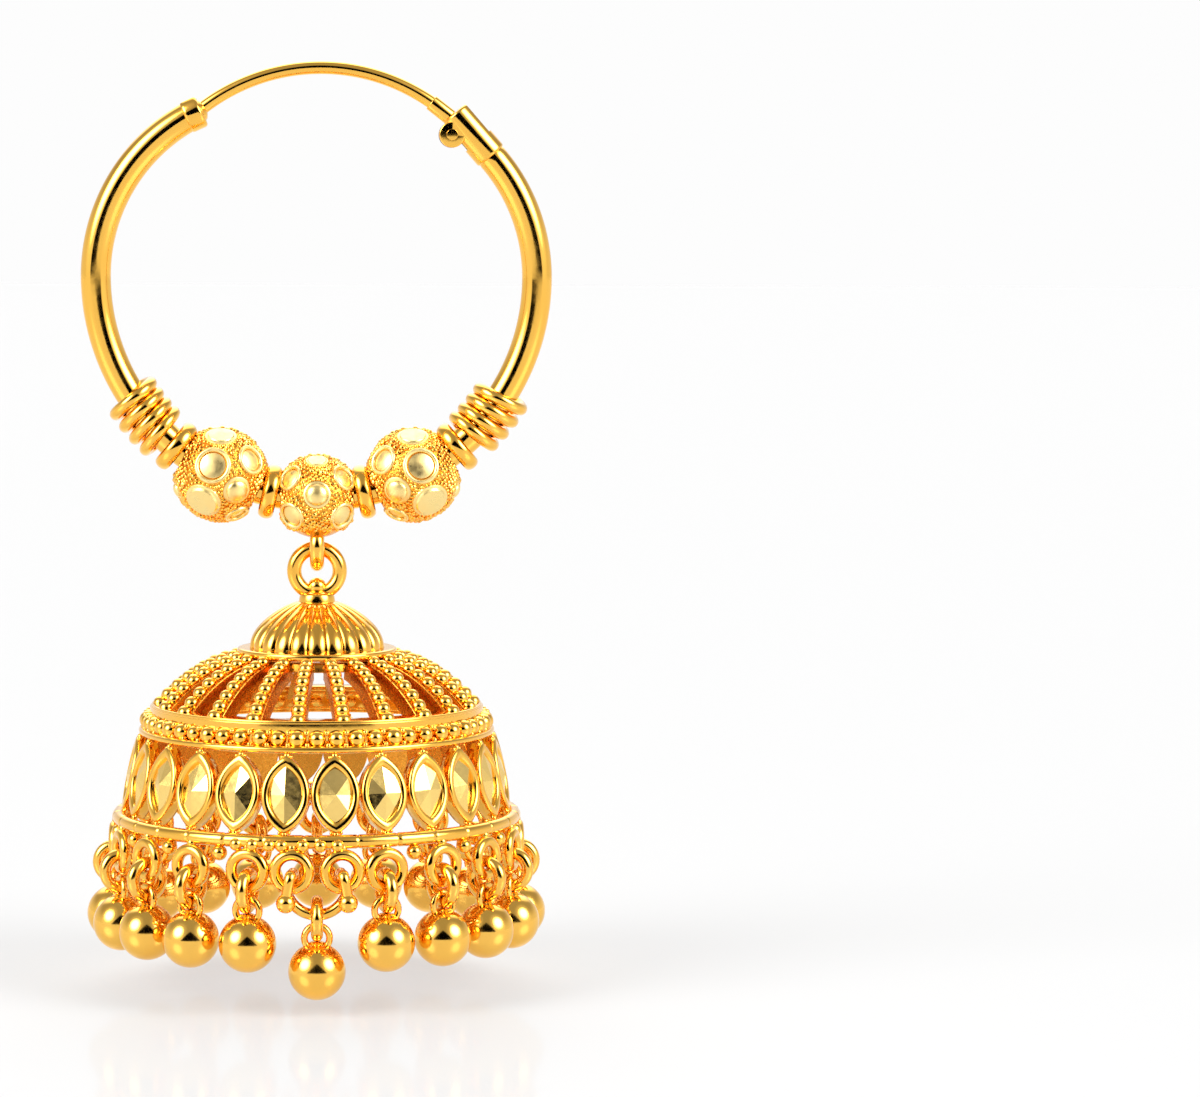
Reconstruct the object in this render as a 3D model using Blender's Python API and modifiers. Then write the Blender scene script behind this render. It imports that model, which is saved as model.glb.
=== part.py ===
"""Jhumka earring: a hinged hoop with three beads, and a pierced bell with ball drops hung under it.

Metres, +Z up. The origin is the top of the ear wire's centreline, where the earring hangs in the ear.
+X is the hinge side, and the earring's front faces -Y.
"""
from math import asin, atan2, cos, degrees, pi, radians, sin, sqrt

import bmesh
import bpy
from mathutils import Matrix, Vector

MM = 0.001

# Ear wire: a round wire bent to an arc through the origin
WIRE_DIAMETER = 0.80 * MM
WIRE_ARC_RADIUS = 11.87 * MM
WIRE_ARC_OFFSET = 0.30 * MM       # the arc's centre lies this far toward the hinge
SLEEVE_DIAMETER = 1.00 * MM       # thickened end of the wire at the hinge
SLEEVE_LENGTH = 1.50 * MM
SLEEVE_FLATTENING = 0.84          # its thickness across the slot, as a share of its diameter
WIRE_EYE_RADIUS = 0.62 * MM       # flat eye round the hinge pin

# Hoop tube: a half circle below, and two flatter arcs above it
TUBE_DIAMETER = 1.86 * MM
HOOP_RADIUS = 13.60 * MM          # centreline of the lower half
HOOP_SHOULDER_RADIUS = 11.30 * MM  # centreline of the upper arcs
HOOP_CENTRE_DEPTH = 12.88 * MM    # the hoop's centre below the top of the ear wire
LATCH_END_ANGLE = 25.1            # the tube's ends, in degrees from straight up
HINGE_END_ANGLE = 49.0

# Catch cap at the tube's left end
CAP_DIAMETER = 2.10 * MM
CAP_LENGTH = 1.10 * MM
CAP_BACK_WALL = 0.20 * MM

# Hinge barrel at its right end
BARREL_DIAMETER = 2.04 * MM
BARREL_LENGTH = 3.50 * MM
PIN_SETBACK = 0.91 * MM           # the pin from the barrel's mouth
PIN_DROP = 0.99 * MM              # the pin from the barrel's axis, toward the hoop's inside
KNUCKLE_RADIUS = 0.80 * MM
KNUCKLE_WIDTH = 1.80 * MM
PIN_DIAMETER = 0.40 * MM
HINGE_SLOT_LENGTH = 2.25 * MM

# Wound coils, spacer rings and beads on the hoop
COIL_WIRE_DIAMETER = 0.74 * MM
COIL_PITCH = 0.86 * MM
COIL_TURNS = 3.9
COIL_EASE = 0.02 * MM             # more room than SLIDE_GAP, because the strand is drawn with flats
SPACER_WIDTH = 0.96 * MM
SPACER_THICKNESS = 0.66 * MM
SIDE_BEAD_DIAMETER = 5.50 * MM
CENTRE_BEAD_DIAMETER = 4.95 * MM
BOSS_HEIGHT = 0.14 * MM

# Bail soldered under the centre bead, and the bell's hanging ring
BAIL_WIRE_DIAMETER = 0.90 * MM
BAIL_RADIUS = 1.10 * MM           # centreline of its loop
HANGING_RING_RADIUS = 1.41 * MM   # centreline
HANGING_WIRE_DIAMETER = 0.90 * MM
RING_HEADROOM = 0.26 * MM         # between the hanging ring and the bead

# Bell cap: finial ball, collar, fluted dome and flange
FINIAL_DIAMETER = 1.14 * MM
FINIAL_SETBACK = 0.42 * MM        # the ball's centre above the ring's lowest point
FINIAL_SEAT = 0.41 * MM           # the ball's centre above the collar
COLLAR_DIAMETER = 2.20 * MM
COLLAR_HEIGHT = 0.50 * MM
CAP_DOME_HEIGHT = 2.85 * MM
CAP_DOME_RADIUS = 4.20 * MM
FLANGE_RADIUS = 4.96 * MM
FLANGE_THICKNESS = 0.45 * MM
FLUTE_COUNT = 22
FLUTE_DEPTH = 0.20 * MM
CAP_WALL = 0.60 * MM

# Pierced dome of ribs
RIB_COUNT = 22
RIB_WIDTH = 0.95 * MM
RIB_DEPTH = 1.00 * MM
RIBS_HEIGHT = 3.20 * MM
RIBS_TOP_RADIUS = 4.55 * MM       # outer edge under the flange
RIBS_FOOT_RADIUS = 9.75 * MM      # outer edge at the foot ring
RIBS_BULGE = 0.55                 # how square the shoulder is, 0 for a straight cone
FIRST_RIB_ANGLE = -6.9            # degrees from the front
COLLAR_RING_HEIGHT = 0.58 * MM    # the ring under the flange
FOOT_RING_HEIGHT = 0.45 * MM
RING_REACH = 0.30 * MM            # how far the foot ring stands outside the ribs

# Granule band with its plain wire below
BAND_OVERHANG = 1.25 * MM         # how far the granules stand outside the ribs' foot
GRANULE_DIAMETER = 1.10 * MM
BAND_WIRE_DIAMETER = 0.46 * MM
BAND_WIRE_OVERLAP = 0.18 * MM     # how deep the granules are soldered into the wire
BAND_WIRE_DEPTH = 0.90 * MM       # front to back, under the granules

# Band of marquise settings
PETAL_COUNT = 24
PETAL_WIDTH = 2.85 * MM
PETAL_HEIGHT = 4.45 * MM
PETAL_THICKNESS = 0.85 * MM
PETAL_BEZEL = 0.40 * MM
PETAL_STEP = 0.20 * MM            # how far the petals' top tips stand outside the granules
PETAL_FLARE = 1.00 * MM           # how far their lower tips stand outside their top ones
PETAL_DOME = 0.30 * MM            # the facets' ridge above the bezel
FIRST_PETAL_ANGLE = 5.5

# Rim with its loops
RIM_WIRE_DIAMETER = 0.84 * MM
RIM_STEP = 0.08 * MM              # its centreline outside the petals' lower tips
LOOP_WIRE_DIAMETER = 0.70 * MM
LOOP_RADIUS = 1.02 * MM           # centreline
LOOP_STEP = 0.27 * MM             # the circle that the loops stand on, outside the rim's centreline
LOOP_OVERLAP = 0.22 * MM          # how deep a loop is soldered into the rim
PAIR_LOOP_ANGLE = 6.9             # the two front loops, which hold the swag link
FIRST_LOOP_ANGLE = 19.3           # the first loop with a drop of its own
SIDE_LOOP_COUNT = 9               # on each side, before the one at the back

# Swag link between the two front loops
SWAG_WIRE_DIAMETER = 0.68 * MM
SWAG_RADIUS = 1.84 * MM
SWAG_HANG = 0.15 * MM             # the arc's centre below the loops' lowest centreline
SWAG_END_LENGTH = 1.35 * MM       # from the loops down to the wire's ends
SWAG_END_SPLAY = 0.25 * MM        # how far the ends lean apart
SWAG_BALL_DIAMETER = 1.18 * MM
SWAG_BALL_DROP = 0.20 * MM        # the ball's centre below the wire's end

# Ball drops
JUMP_RING_RADIUS = 1.02 * MM      # centreline
JUMP_WIRE_DIAMETER = 0.72 * MM
BALL_DIAMETER = 3.46 * MM
NECK_HEIGHT = 0.45 * MM           # from the jump ring's lowest centre to the ball's top
NECK_DIAMETER = 0.60 * MM         # inside the jump ring's wire
NECK_FOOT_DIAMETER = 1.20 * MM    # where it is soldered to the ball

# Clearances between pieces
SEAT_GAP = 0.12 * MM              # between pieces that touch on the real earring
SLIDE_GAP = 0.10 * MM             # round the tube, inside beads, rings and coils
PIN_GAP = 0.08 * MM               # round the hinge pin
NOTCH_GAP = 0.15 * MM             # under the ear wire in the catch cap's notch
SWING_GAP = 0.10 * MM             # at each side of what swings in a slot
LINK_GAP = 0.10 * MM              # between links that hang in each other

# Sides of the faceted rounds
TUBE_STEPS = 28
ROUND_SIDES = 10
LINK_SIDES = 5

# Worked out from the sizes above: the hoop
tube_radius = TUBE_DIAMETER / 2
wire_radius = WIRE_DIAMETER / 2
hoop_centre = Vector((0, 0, -HOOP_CENTRE_DEPTH))
shoulder_offset = HOOP_RADIUS - HOOP_SHOULDER_RADIUS
hoop_bottom = hoop_centre - Vector((0, 0, HOOP_RADIUS))
spacer_inner_radius = tube_radius + SLIDE_GAP
spacer_centre_radius = spacer_inner_radius + SPACER_THICKNESS / 2
coil_radius = tube_radius + SLIDE_GAP + COIL_WIRE_DIAMETER / 2 + COIL_EASE
bead_face = SEAT_GAP + SPACER_WIDTH / 2

# The stack along the tube, from the bottom outward. A ring leans toward the bead on the hoop's inside,
# because the tube curves between them.
lean_share = 1 + spacer_centre_radius / (2 * HOOP_RADIUS)
centre_bead_reach = (CENTRE_BEAD_DIAMETER / 2 + bead_face) * lean_share
side_bead_reach = (SIDE_BEAD_DIAMETER / 2 + bead_face) * lean_share
inner_ring_at = sqrt(centre_bead_reach ** 2 - spacer_centre_radius ** 2)
bead_step = sqrt(side_bead_reach ** 2 - spacer_centre_radius ** 2)
side_bead_at = inner_ring_at + bead_step
outer_ring_at = side_bead_at + bead_step
coil_start_at = outer_ring_at + SPACER_WIDTH / 2 + COIL_WIRE_DIAMETER / 2 + SEAT_GAP

# The bail, the hanging ring and the bell's levels
bail_radius = BAIL_WIRE_DIAMETER / 2
hanging_wire_radius = HANGING_WIRE_DIAMETER / 2
centre_bead_bottom = hoop_bottom.z - CENTRE_BEAD_DIAMETER / 2
ring_top = centre_bead_bottom - RING_HEADROOM - hanging_wire_radius
ring_centre = Vector((0, 0, ring_top - HANGING_RING_RADIUS))
bail_bottom = Vector((0, 0, ring_top - hanging_wire_radius - bail_radius - LINK_GAP))
bail_centre = bail_bottom + Vector((0, 0, BAIL_RADIUS))
finial_z = ring_centre.z - HANGING_RING_RADIUS + FINIAL_SETBACK
cap_collar_z = finial_z - FINIAL_SEAT
cap_dome_z = cap_collar_z - COLLAR_HEIGHT
flange_z = cap_dome_z - CAP_DOME_HEIGHT
ribs_top_z = flange_z - FLANGE_THICKNESS - SEAT_GAP
ribs_foot_z = ribs_top_z - RIBS_HEIGHT
granule_z = ribs_foot_z - SEAT_GAP - GRANULE_DIAMETER / 2
band_wire_z = granule_z - GRANULE_DIAMETER / 2 + BAND_WIRE_OVERLAP - BAND_WIRE_DIAMETER / 2
petal_top_z = band_wire_z - BAND_WIRE_DIAMETER / 2 - SEAT_GAP
petal_foot_z = petal_top_z - PETAL_HEIGHT
rim_z = petal_foot_z - SEAT_GAP - RIM_WIRE_DIAMETER / 2
loop_z = rim_z - RIM_WIRE_DIAMETER / 2 - LOOP_RADIUS - LOOP_WIRE_DIAMETER / 2 + LOOP_OVERLAP
jump_hang = JUMP_WIRE_DIAMETER / 2 + LINK_GAP - JUMP_RING_RADIUS
jump_ring_z = loop_z - LOOP_RADIUS + LOOP_WIRE_DIAMETER / 2 + jump_hang

# The bell's widths, from the ribs' foot outward
band_radius = RIBS_FOOT_RADIUS + BAND_OVERHANG
petal_top_radius = band_radius + PETAL_STEP
petal_foot_radius = petal_top_radius + PETAL_FLARE
rim_radius = petal_foot_radius + RIM_STEP
loop_ring_radius = rim_radius + LOOP_STEP

COLOURS = {
    "polished": (0.80, 0.48, 0.10, 1.0),
    "relief": (0.72, 0.40, 0.07, 1.0),
    "bright": (0.86, 0.56, 0.14, 1.0),
}


def clear_scene():
    """Empty the file and return the collections for the parts and for the cutters."""
    for obj in list(bpy.data.objects):
        bpy.data.objects.remove(obj, do_unlink=True)
    collections = []
    for name in ("jhumka_earring", "cutters"):
        collection = bpy.data.collections.new(name)
        bpy.context.scene.collection.children.link(collection)
        collections.append(collection)
    return collections


parts, cutters = clear_scene()


def gold(finish):
    """The gold-plated brass of one finish."""
    name = "gold_" + finish
    material = bpy.data.materials.get(name) or bpy.data.materials.new(name)
    material.use_nodes = True
    shader = material.node_tree.nodes["Principled BSDF"]
    shader.inputs["Base Color"].default_value = COLOURS[finish]
    shader.inputs["Metallic"].default_value = 1.0
    shader.inputs["Roughness"].default_value = 0.18
    return material


def blank(mesh, name="blank"):
    """An object that is still being shaped: it stays with the cutters."""
    obj = bpy.data.objects.new(name, mesh)
    cutters.objects.link(obj)
    obj.hide_render = True
    obj.display_type = "WIRE"
    return obj


def apply_modifiers(obj):
    """Keep the shape that an object's modifiers or curve settings make, as a plain mesh."""
    bpy.context.view_layer.update()
    graph = bpy.context.evaluated_depsgraph_get()
    mesh = bpy.data.meshes.new_from_object(obj.evaluated_get(graph))
    made = blank(mesh)
    made.matrix_world = obj.matrix_world.copy()
    bpy.data.objects.remove(obj, do_unlink=True)
    return made


def weld(obj):
    """Merge the loose seam points of a curve's caps or a turned profile's axis."""
    work = bmesh.new()
    work.from_mesh(obj.data)
    bmesh.ops.remove_doubles(work, verts=work.verts, dist=0.002 * MM)
    work.to_mesh(obj.data)
    work.free()
    return obj


def tube_along(points, radius, resolution, closed=False):
    """A round wire or tube along a chain of points."""
    curve = bpy.data.curves.new("wire", "CURVE")
    curve.dimensions = "3D"
    curve.bevel_depth = radius
    curve.bevel_resolution = resolution
    curve.use_fill_caps = not closed
    spline = curve.splines.new("POLY")
    spline.points.add(len(points) - 1)
    for knot, point in zip(spline.points, points):
        knot.co = (*point, 1.0)
    spline.use_cyclic_u = closed
    return weld(apply_modifiers(blank(curve)))


def turned(profile, steps, closed=False):
    """A profile of (radius, z) points turned about Z with a Screw modifier."""
    mesh = bpy.data.meshes.new("profile")
    edges = [(i, i + 1) for i in range(len(profile) - 1)]
    if closed:
        edges.append((len(profile) - 1, 0))
    mesh.from_pydata([(r, 0, z) for r, z in profile], edges, [])
    obj = blank(mesh)
    screw = obj.modifiers.new("turn", "SCREW")
    screw.steps = steps
    screw.render_steps = steps
    screw.use_merge_vertices = True
    screw.merge_threshold = 0.002 * MM
    return weld(apply_modifiers(obj))


def round_profile(major, radius_across, radius_along, sides, z=0.0):
    """The closed outline of a ring's cross-section, running top to bottom on its outer side."""
    turn = [2 * pi * (i + 0.5) / sides for i in range(sides)]
    return [(major + radius_across * sin(t), z + radius_along * cos(t)) for t in turn]


def ring(major, radius_across, radius_along, steps, sides):
    """A ring round Z, with an oval or round cross-section."""
    return turned(round_profile(major, radius_across, radius_along, sides), steps, closed=True)


def ball(radius, segments, rings):
    """A faceted ball about the origin."""
    work = bmesh.new()
    bmesh.ops.create_uvsphere(work, u_segments=segments, v_segments=rings, radius=radius)
    mesh = bpy.data.meshes.new("ball")
    work.to_mesh(mesh)
    work.free()
    return blank(mesh)


def small_ball(radius):
    """A ball of 80 even facets about the origin."""
    work = bmesh.new()
    bmesh.ops.create_icosphere(work, subdivisions=2, radius=radius)
    mesh = bpy.data.meshes.new("small_ball")
    work.to_mesh(mesh)
    work.free()
    return blank(mesh)


def rod(radius_low, radius_high, length, sides):
    """A capped rod or cone about Z, centred on the origin."""
    work = bmesh.new()
    bmesh.ops.create_cone(work, cap_ends=True, segments=sides, radius1=radius_low,
                          radius2=radius_high, depth=length)
    mesh = bpy.data.meshes.new("rod")
    work.to_mesh(mesh)
    work.free()
    return blank(mesh)


def block(size, centre=(0, 0, 0)):
    """A block of the given size."""
    work = bmesh.new()
    bmesh.ops.create_cube(work, size=1.0)
    bmesh.ops.scale(work, vec=size, verts=work.verts)
    bmesh.ops.translate(work, vec=centre, verts=work.verts)
    mesh = bpy.data.meshes.new("block")
    work.to_mesh(mesh)
    work.free()
    return blank(mesh)


def moved(obj, matrix):
    """The same object with its mesh moved by a matrix."""
    obj.data.transform(matrix)
    return obj


def copied(obj, matrix):
    """A moved copy, with the first object left as it is."""
    twin = blank(obj.data.copy())
    return moved(twin, matrix)


def frame_of(origin, along, side=Vector((0, 1, 0))):
    """The matrix that puts the origin at a point, Z along a direction and Y along another."""
    z_axis = Vector(along).normalized()
    x_axis = Vector(side).cross(z_axis).normalized()
    y_axis = z_axis.cross(x_axis)
    turn = Matrix((x_axis, y_axis, z_axis)).transposed().to_4x4()
    return Matrix.Translation(origin) @ turn


def combined(body, tools, operation):
    """One body with the tools joined to it or cut from it."""
    group = bpy.data.collections.new("tools")
    bpy.context.scene.collection.children.link(group)
    for tool in tools:
        group.objects.link(tool)
        cutters.objects.unlink(tool)
    boolean = body.modifiers.new("combine", "BOOLEAN")
    boolean.operation = operation
    boolean.solver = "EXACT"
    boolean.operand_type = "COLLECTION"
    boolean.collection = group
    result = apply_modifiers(body)
    for tool in tools:
        bpy.data.objects.remove(tool, do_unlink=True)
    bpy.data.collections.remove(group)
    return result


def fused(body, tools):
    """Soldered pieces as one body."""
    return combined(body, tools, "UNION")


def cut(body, tools):
    """A body with openings cut in it."""
    return combined(body, tools, "DIFFERENCE")


def empty(name, point, parent=None):
    """A pivot that the pieces of one moving body hang from."""
    pivot = bpy.data.objects.new(name, None)
    parts.objects.link(pivot)
    pivot.empty_display_size = MM
    pivot["at"] = tuple(point)
    pivot.parent = parent
    pivot.location = Vector(point) - (Vector(parent["at"]) if parent else Vector())
    return pivot


def keep(obj, name, pivot, finish, origin=None, smooth=30):
    """Name a finished piece, hang it on its pivot and give it its metal."""
    origin = Vector(pivot["at"]) if origin is None else Vector(origin)
    obj.name = name
    obj.data.name = name
    obj.data.transform(Matrix.Translation(-origin))
    obj.parent = pivot
    obj.location = origin - Vector(pivot["at"])
    cutters.objects.unlink(obj)
    parts.objects.link(obj)
    obj.hide_render = False
    obj.display_type = "TEXTURED"
    obj.data.materials.clear()
    obj.data.materials.append(gold(finish))
    obj.data.shade_smooth()
    obj.data.set_sharp_from_angle(angle=radians(smooth))
    return obj


def shoulder_point(angle):
    """A point of the upper arcs, with the angle from straight up, plus toward the hinge."""
    side = 1 if angle > 0 else -1
    return hoop_centre + Vector((side * shoulder_offset + HOOP_SHOULDER_RADIUS * sin(radians(angle)), 0,
                                 HOOP_SHOULDER_RADIUS * cos(radians(angle))))


def shoulder_direction(angle):
    """The tube's direction there, toward its end."""
    side = 1 if angle > 0 else -1
    return Vector((-side * cos(radians(angle)), 0, side * sin(radians(angle))))


def hoop_point(distance):
    """A point of the lower half, by its distance along the tube from the bottom."""
    angle = distance / HOOP_RADIUS
    return hoop_centre + HOOP_RADIUS * Vector((sin(angle), 0, -cos(angle)))


def hoop_frame(distance):
    """The frame there: Z along the tube, Y to the back."""
    angle = distance / HOOP_RADIUS
    return frame_of(hoop_point(distance), (cos(angle), 0, sin(angle)))


def wire_point(angle):
    """A point of the ear wire's arc, with the angle in degrees from straight up."""
    centre = Vector((WIRE_ARC_OFFSET, 0, -WIRE_ARC_RADIUS * cos(asin(WIRE_ARC_OFFSET / WIRE_ARC_RADIUS))))
    return centre + WIRE_ARC_RADIUS * Vector((sin(radians(angle)), 0, cos(radians(angle))))


def wire_angle_at(point):
    """The angle of the arc's point nearest to a point."""
    centre = wire_point(0) - Vector((0, 0, WIRE_ARC_RADIUS))
    return degrees(atan2(point.x - centre.x, point.z - centre.z))


def arc_angles(start, stop, steps):
    """Evenly spaced angles from one end of an arc to the other."""
    return [start + (stop - start) * i / steps for i in range(steps + 1)]


# Where the hinge and the latch stand on the hoop
barrel_axis = shoulder_direction(HINGE_END_ANGLE)
barrel_inward = Vector((-barrel_axis.z, 0, barrel_axis.x))
barrel_start = shoulder_point(HINGE_END_ANGLE) + SEAT_GAP * barrel_axis
barrel_mouth = barrel_start + BARREL_LENGTH * barrel_axis
pin_point = barrel_mouth - PIN_SETBACK * barrel_axis + PIN_DROP * barrel_inward
cap_axis = shoulder_direction(-LATCH_END_ANGLE)
cap_mouth = shoulder_point(-LATCH_END_ANGLE)
slot_width = SLEEVE_DIAMETER * SLEEVE_FLATTENING + 2 * SWING_GAP

hoop = empty("hoop_pivot", (0, 0, 0))
ear_wire_pivot = empty("ear_wire_pivot", pin_point, hoop)
bead_pivot = empty("bead_pivot", hoop_bottom, hoop)
bell_pivot = empty("bell_pivot", bail_bottom, bead_pivot)


def make_hoop_tube():
    """The open ring of drawn tube that carries everything."""
    tube_end = LATCH_END_ANGLE + degrees((CAP_LENGTH + SEAT_GAP) / HOOP_SHOULDER_RADIUS)
    points = [shoulder_point(-angle) for angle in arc_angles(tube_end, 90, TUBE_STEPS // 4)]
    lower = [hoop_point(-radians(angle) * HOOP_RADIUS) for angle in arc_angles(90, -90, TUBE_STEPS // 2)]
    points += lower[1:-1]
    points += [shoulder_point(angle) for angle in arc_angles(90, HINGE_END_ANGLE, TUBE_STEPS // 4)]
    keep(tube_along(points, tube_radius, 3), "hoop_tube", hoop, "polished")


def make_catch_cap():
    """The cap that closes the tube, with a notch along the wire that springs into it."""
    cap = moved(rod(CAP_DIAMETER / 2, CAP_DIAMETER / 2, CAP_LENGTH, 2 * ROUND_SIDES),
                frame_of(cap_mouth - cap_axis * CAP_LENGTH / 2, cap_axis))
    floor = wire_radius + NOTCH_GAP
    notch_height = floor + CAP_DIAMETER
    notch = block((notch_height, WIRE_DIAMETER + 2 * SWING_GAP, 2 * (CAP_LENGTH - CAP_BACK_WALL)),
                  (floor - notch_height / 2, 0, 0))
    angle = wire_angle_at(cap_mouth)
    along_wire = frame_of(wire_point(angle), (cos(radians(angle)), 0, -sin(radians(angle))))
    keep(cut(cap, [moved(notch, along_wire)]), "catch_cap", hoop, "polished")


def make_hinge():
    """The barrel with its forked knuckle, and the pin through it."""
    axis_frame = frame_of((barrel_start + barrel_mouth) / 2, barrel_axis)
    barrel = moved(rod(BARREL_DIAMETER / 2, BARREL_DIAMETER / 2, BARREL_LENGTH, 16), axis_frame)
    across = frame_of(pin_point, (0, 1, 0), side=(1, 0, 0))
    knuckle = moved(rod(KNUCKLE_RADIUS, KNUCKLE_RADIUS, KNUCKLE_WIDTH, 16), across)
    barrel = fused(barrel, [knuckle])
    slot_reach = 2 * (BARREL_DIAMETER + KNUCKLE_RADIUS)
    slot = moved(block((slot_reach, slot_width, 2 * HINGE_SLOT_LENGTH)), frame_of(barrel_mouth, barrel_axis))
    hole = moved(rod(PIN_DIAMETER / 2 + PIN_GAP, PIN_DIAMETER / 2 + PIN_GAP, 2 * KNUCKLE_WIDTH, 12), across)
    keep(cut(barrel, [slot, hole]), "hinge_barrel", hoop, "polished")
    pin = moved(rod(PIN_DIAMETER / 2, PIN_DIAMETER / 2, KNUCKLE_WIDTH, 12), across)
    keep(pin, "hinge_pin", hoop, "polished", origin=pin_point)


def make_ear_wire():
    """The wire through the ear, with its sleeve and the eye that turns on the pin."""
    mouth_angle = wire_angle_at(barrel_mouth)
    inner_angle = mouth_angle + degrees(0.95 * PIN_SETBACK / WIRE_ARC_RADIUS)
    latch_depth = CAP_LENGTH - CAP_BACK_WALL - SWING_GAP
    latch_angle = wire_angle_at(cap_mouth) - degrees(latch_depth / WIRE_ARC_RADIUS)
    angles = arc_angles(latch_angle, inner_angle, TUBE_STEPS // 2)
    wire = tube_along([wire_point(angle) for angle in angles], wire_radius, 2)
    sleeve_start = mouth_angle - degrees(SLEEVE_LENGTH / WIRE_ARC_RADIUS)
    start, stop = wire_point(sleeve_start), wire_point(mouth_angle)
    sleeve = rod(SLEEVE_DIAMETER / 2, SLEEVE_DIAMETER / 2, (stop - start).length, 12)
    sleeve = moved(sleeve, Matrix.Diagonal((1, SLEEVE_FLATTENING, 1, 1)))
    sleeve = moved(sleeve, frame_of((start + stop) / 2, stop - start))
    across = frame_of(pin_point, (0, 1, 0), side=(1, 0, 0))
    eye_width = WIRE_DIAMETER
    eye = moved(rod(WIRE_EYE_RADIUS, WIRE_EYE_RADIUS, eye_width, 12), across)
    end = wire_point(inner_angle)
    web_length = (end - pin_point).length
    web = block((WIRE_EYE_RADIUS, eye_width * 0.98, web_length * 0.9))
    web = moved(web, frame_of((end + pin_point) / 2, end - pin_point))
    body = fused(wire, [sleeve, eye, web])
    hole = moved(rod(PIN_DIAMETER / 2 + PIN_GAP, PIN_DIAMETER / 2 + PIN_GAP, 3 * eye_width, 12), across)
    keep(cut(body, [hole]), "ear_wire", ear_wire_pivot, "polished")


def make_coils():
    """A wound wire on each side, its strands leaning opposite ways."""
    points_a_turn = 10
    count = int(COIL_TURNS * points_a_turn)
    for side, name in ((-1, "coil_left"), (1, "coil_right")):
        points = []
        for i in range(count + 1):
            turn = i / points_a_turn
            at = hoop_frame(side * (coil_start_at + COIL_PITCH * turn))
            around = 2 * pi * turn + pi / 2
            points.append(at @ Vector((side * coil_radius * cos(around), coil_radius * sin(around), 0)))
        keep(tube_along(points, COIL_WIRE_DIAMETER / 2, 1), name, hoop, "polished")


def make_spacer_rings():
    """Plain rings beside the beads."""
    for side, word in ((-1, "left"), (1, "right")):
        for distance, place in ((inner_ring_at, "inner"), (outer_ring_at, "outer")):
            made = ring(spacer_centre_radius, SPACER_THICKNESS / 2, SPACER_WIDTH / 2, 12, 6)
            at = hoop_frame(side * distance)
            keep(moved(made, at), f"spacer_ring_{word}_{place}", hoop, "polished", origin=at.translation)


# The raised discs of a bead's front half, with shares of the bead's radius from its centre,
# to the right and up as seen from the front, and the disc's own radius as a share too.
# The back half has the same discs, turned half round.
SIDE_BEAD_BOSSES = (
    {"right": -0.15, "up": 0.26, "radius": 0.32},
    {"right": 0.68, "up": 0.36, "radius": 0.26},
    {"right": 0.38, "up": -0.30, "radius": 0.27},
    {"right": -0.38, "up": -0.55, "radius": 0.37},
    {"right": 0.02, "up": 0.90, "radius": 0.30},
    {"right": -0.93, "up": -0.33, "radius": 0.20},
    {"right": 0.37, "up": -0.83, "radius": 0.20},
)
CENTRE_BEAD_BOSSES = (
    {"right": 0.00, "up": 0.12, "radius": 0.30},
    {"right": -0.66, "up": 0.50, "radius": 0.26},
    {"right": 0.66, "up": 0.50, "radius": 0.26},
    {"right": -0.62, "up": -0.42, "radius": 0.28},
    {"right": 0.62, "up": -0.42, "radius": 0.28},
    {"right": 0.00, "up": 0.92, "radius": 0.26},
)


def boss_directions(table, mirror):
    """The outward direction and size of every raised disc on a bead."""
    for row in table:
        right = mirror * row["right"]
        depth = sqrt(max(0.0, 1 - right ** 2 - row["up"] ** 2))
        front = Vector((right, -depth, row["up"])).normalized()
        yield front, row["radius"]
        if depth > 0.3:
            yield Vector((-front.x, -front.y, front.z)), row["radius"]


def bead(diameter, table, mirror, tube_direction):
    """A bead with raised discs, drilled along the tube and wide enough for the tube's curve."""
    radius = diameter / 2
    body = ball(radius, 10, 7)
    discs = []
    for direction, share in boss_directions(table, mirror):
        disc_radius = share * radius
        seat = radius * sqrt(1 - share ** 2) * 0.86
        top = radius + BOSS_HEIGHT
        disc = rod(disc_radius * 1.02, disc_radius * 0.88, top - seat, 8)
        discs.append(moved(disc, frame_of(direction * (seat + top) / 2, direction, side=(1, 0.1, 0.2))))
    body = fused(body, discs)
    hole_radius = tube_radius + SLIDE_GAP + radius ** 2 / (2 * HOOP_RADIUS)
    hole = moved(rod(hole_radius, hole_radius, 3 * diameter, 12), frame_of((0, 0, 0), tube_direction))
    return cut(body, [hole])


def make_side_beads():
    """The two larger beads."""
    for side, name in ((-1, "side_bead_left"), (1, "side_bead_right")):
        at = hoop_frame(side * side_bead_at)
        along = at.to_3x3() @ Vector((0, 0, 1))
        made = bead(SIDE_BEAD_DIAMETER, SIDE_BEAD_BOSSES, -side, along)
        keep(moved(made, Matrix.Translation(at.translation)), name, hoop, "relief", origin=at.translation)


def make_centre_bead():
    """The middle bead, with the bail soldered under it."""
    made = bead(CENTRE_BEAD_DIAMETER, CENTRE_BEAD_BOSSES, 1, (1, 0, 0))
    made = moved(made, Matrix.Translation(hoop_bottom))
    bail = ring(BAIL_RADIUS, bail_radius, bail_radius, 12, 6)
    bail = moved(bail, frame_of(bail_centre, (1, 0, 0)))
    keep(fused(made, [bail]), "centre_bead", bead_pivot, "relief")


def cap_radius_at(share):
    """The cap dome's radius, by the share of its height down from the collar."""
    collar = COLLAR_DIAMETER / 2
    return collar + (CAP_DOME_RADIUS - collar) * sin(share * pi / 2) ** 0.85


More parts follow.
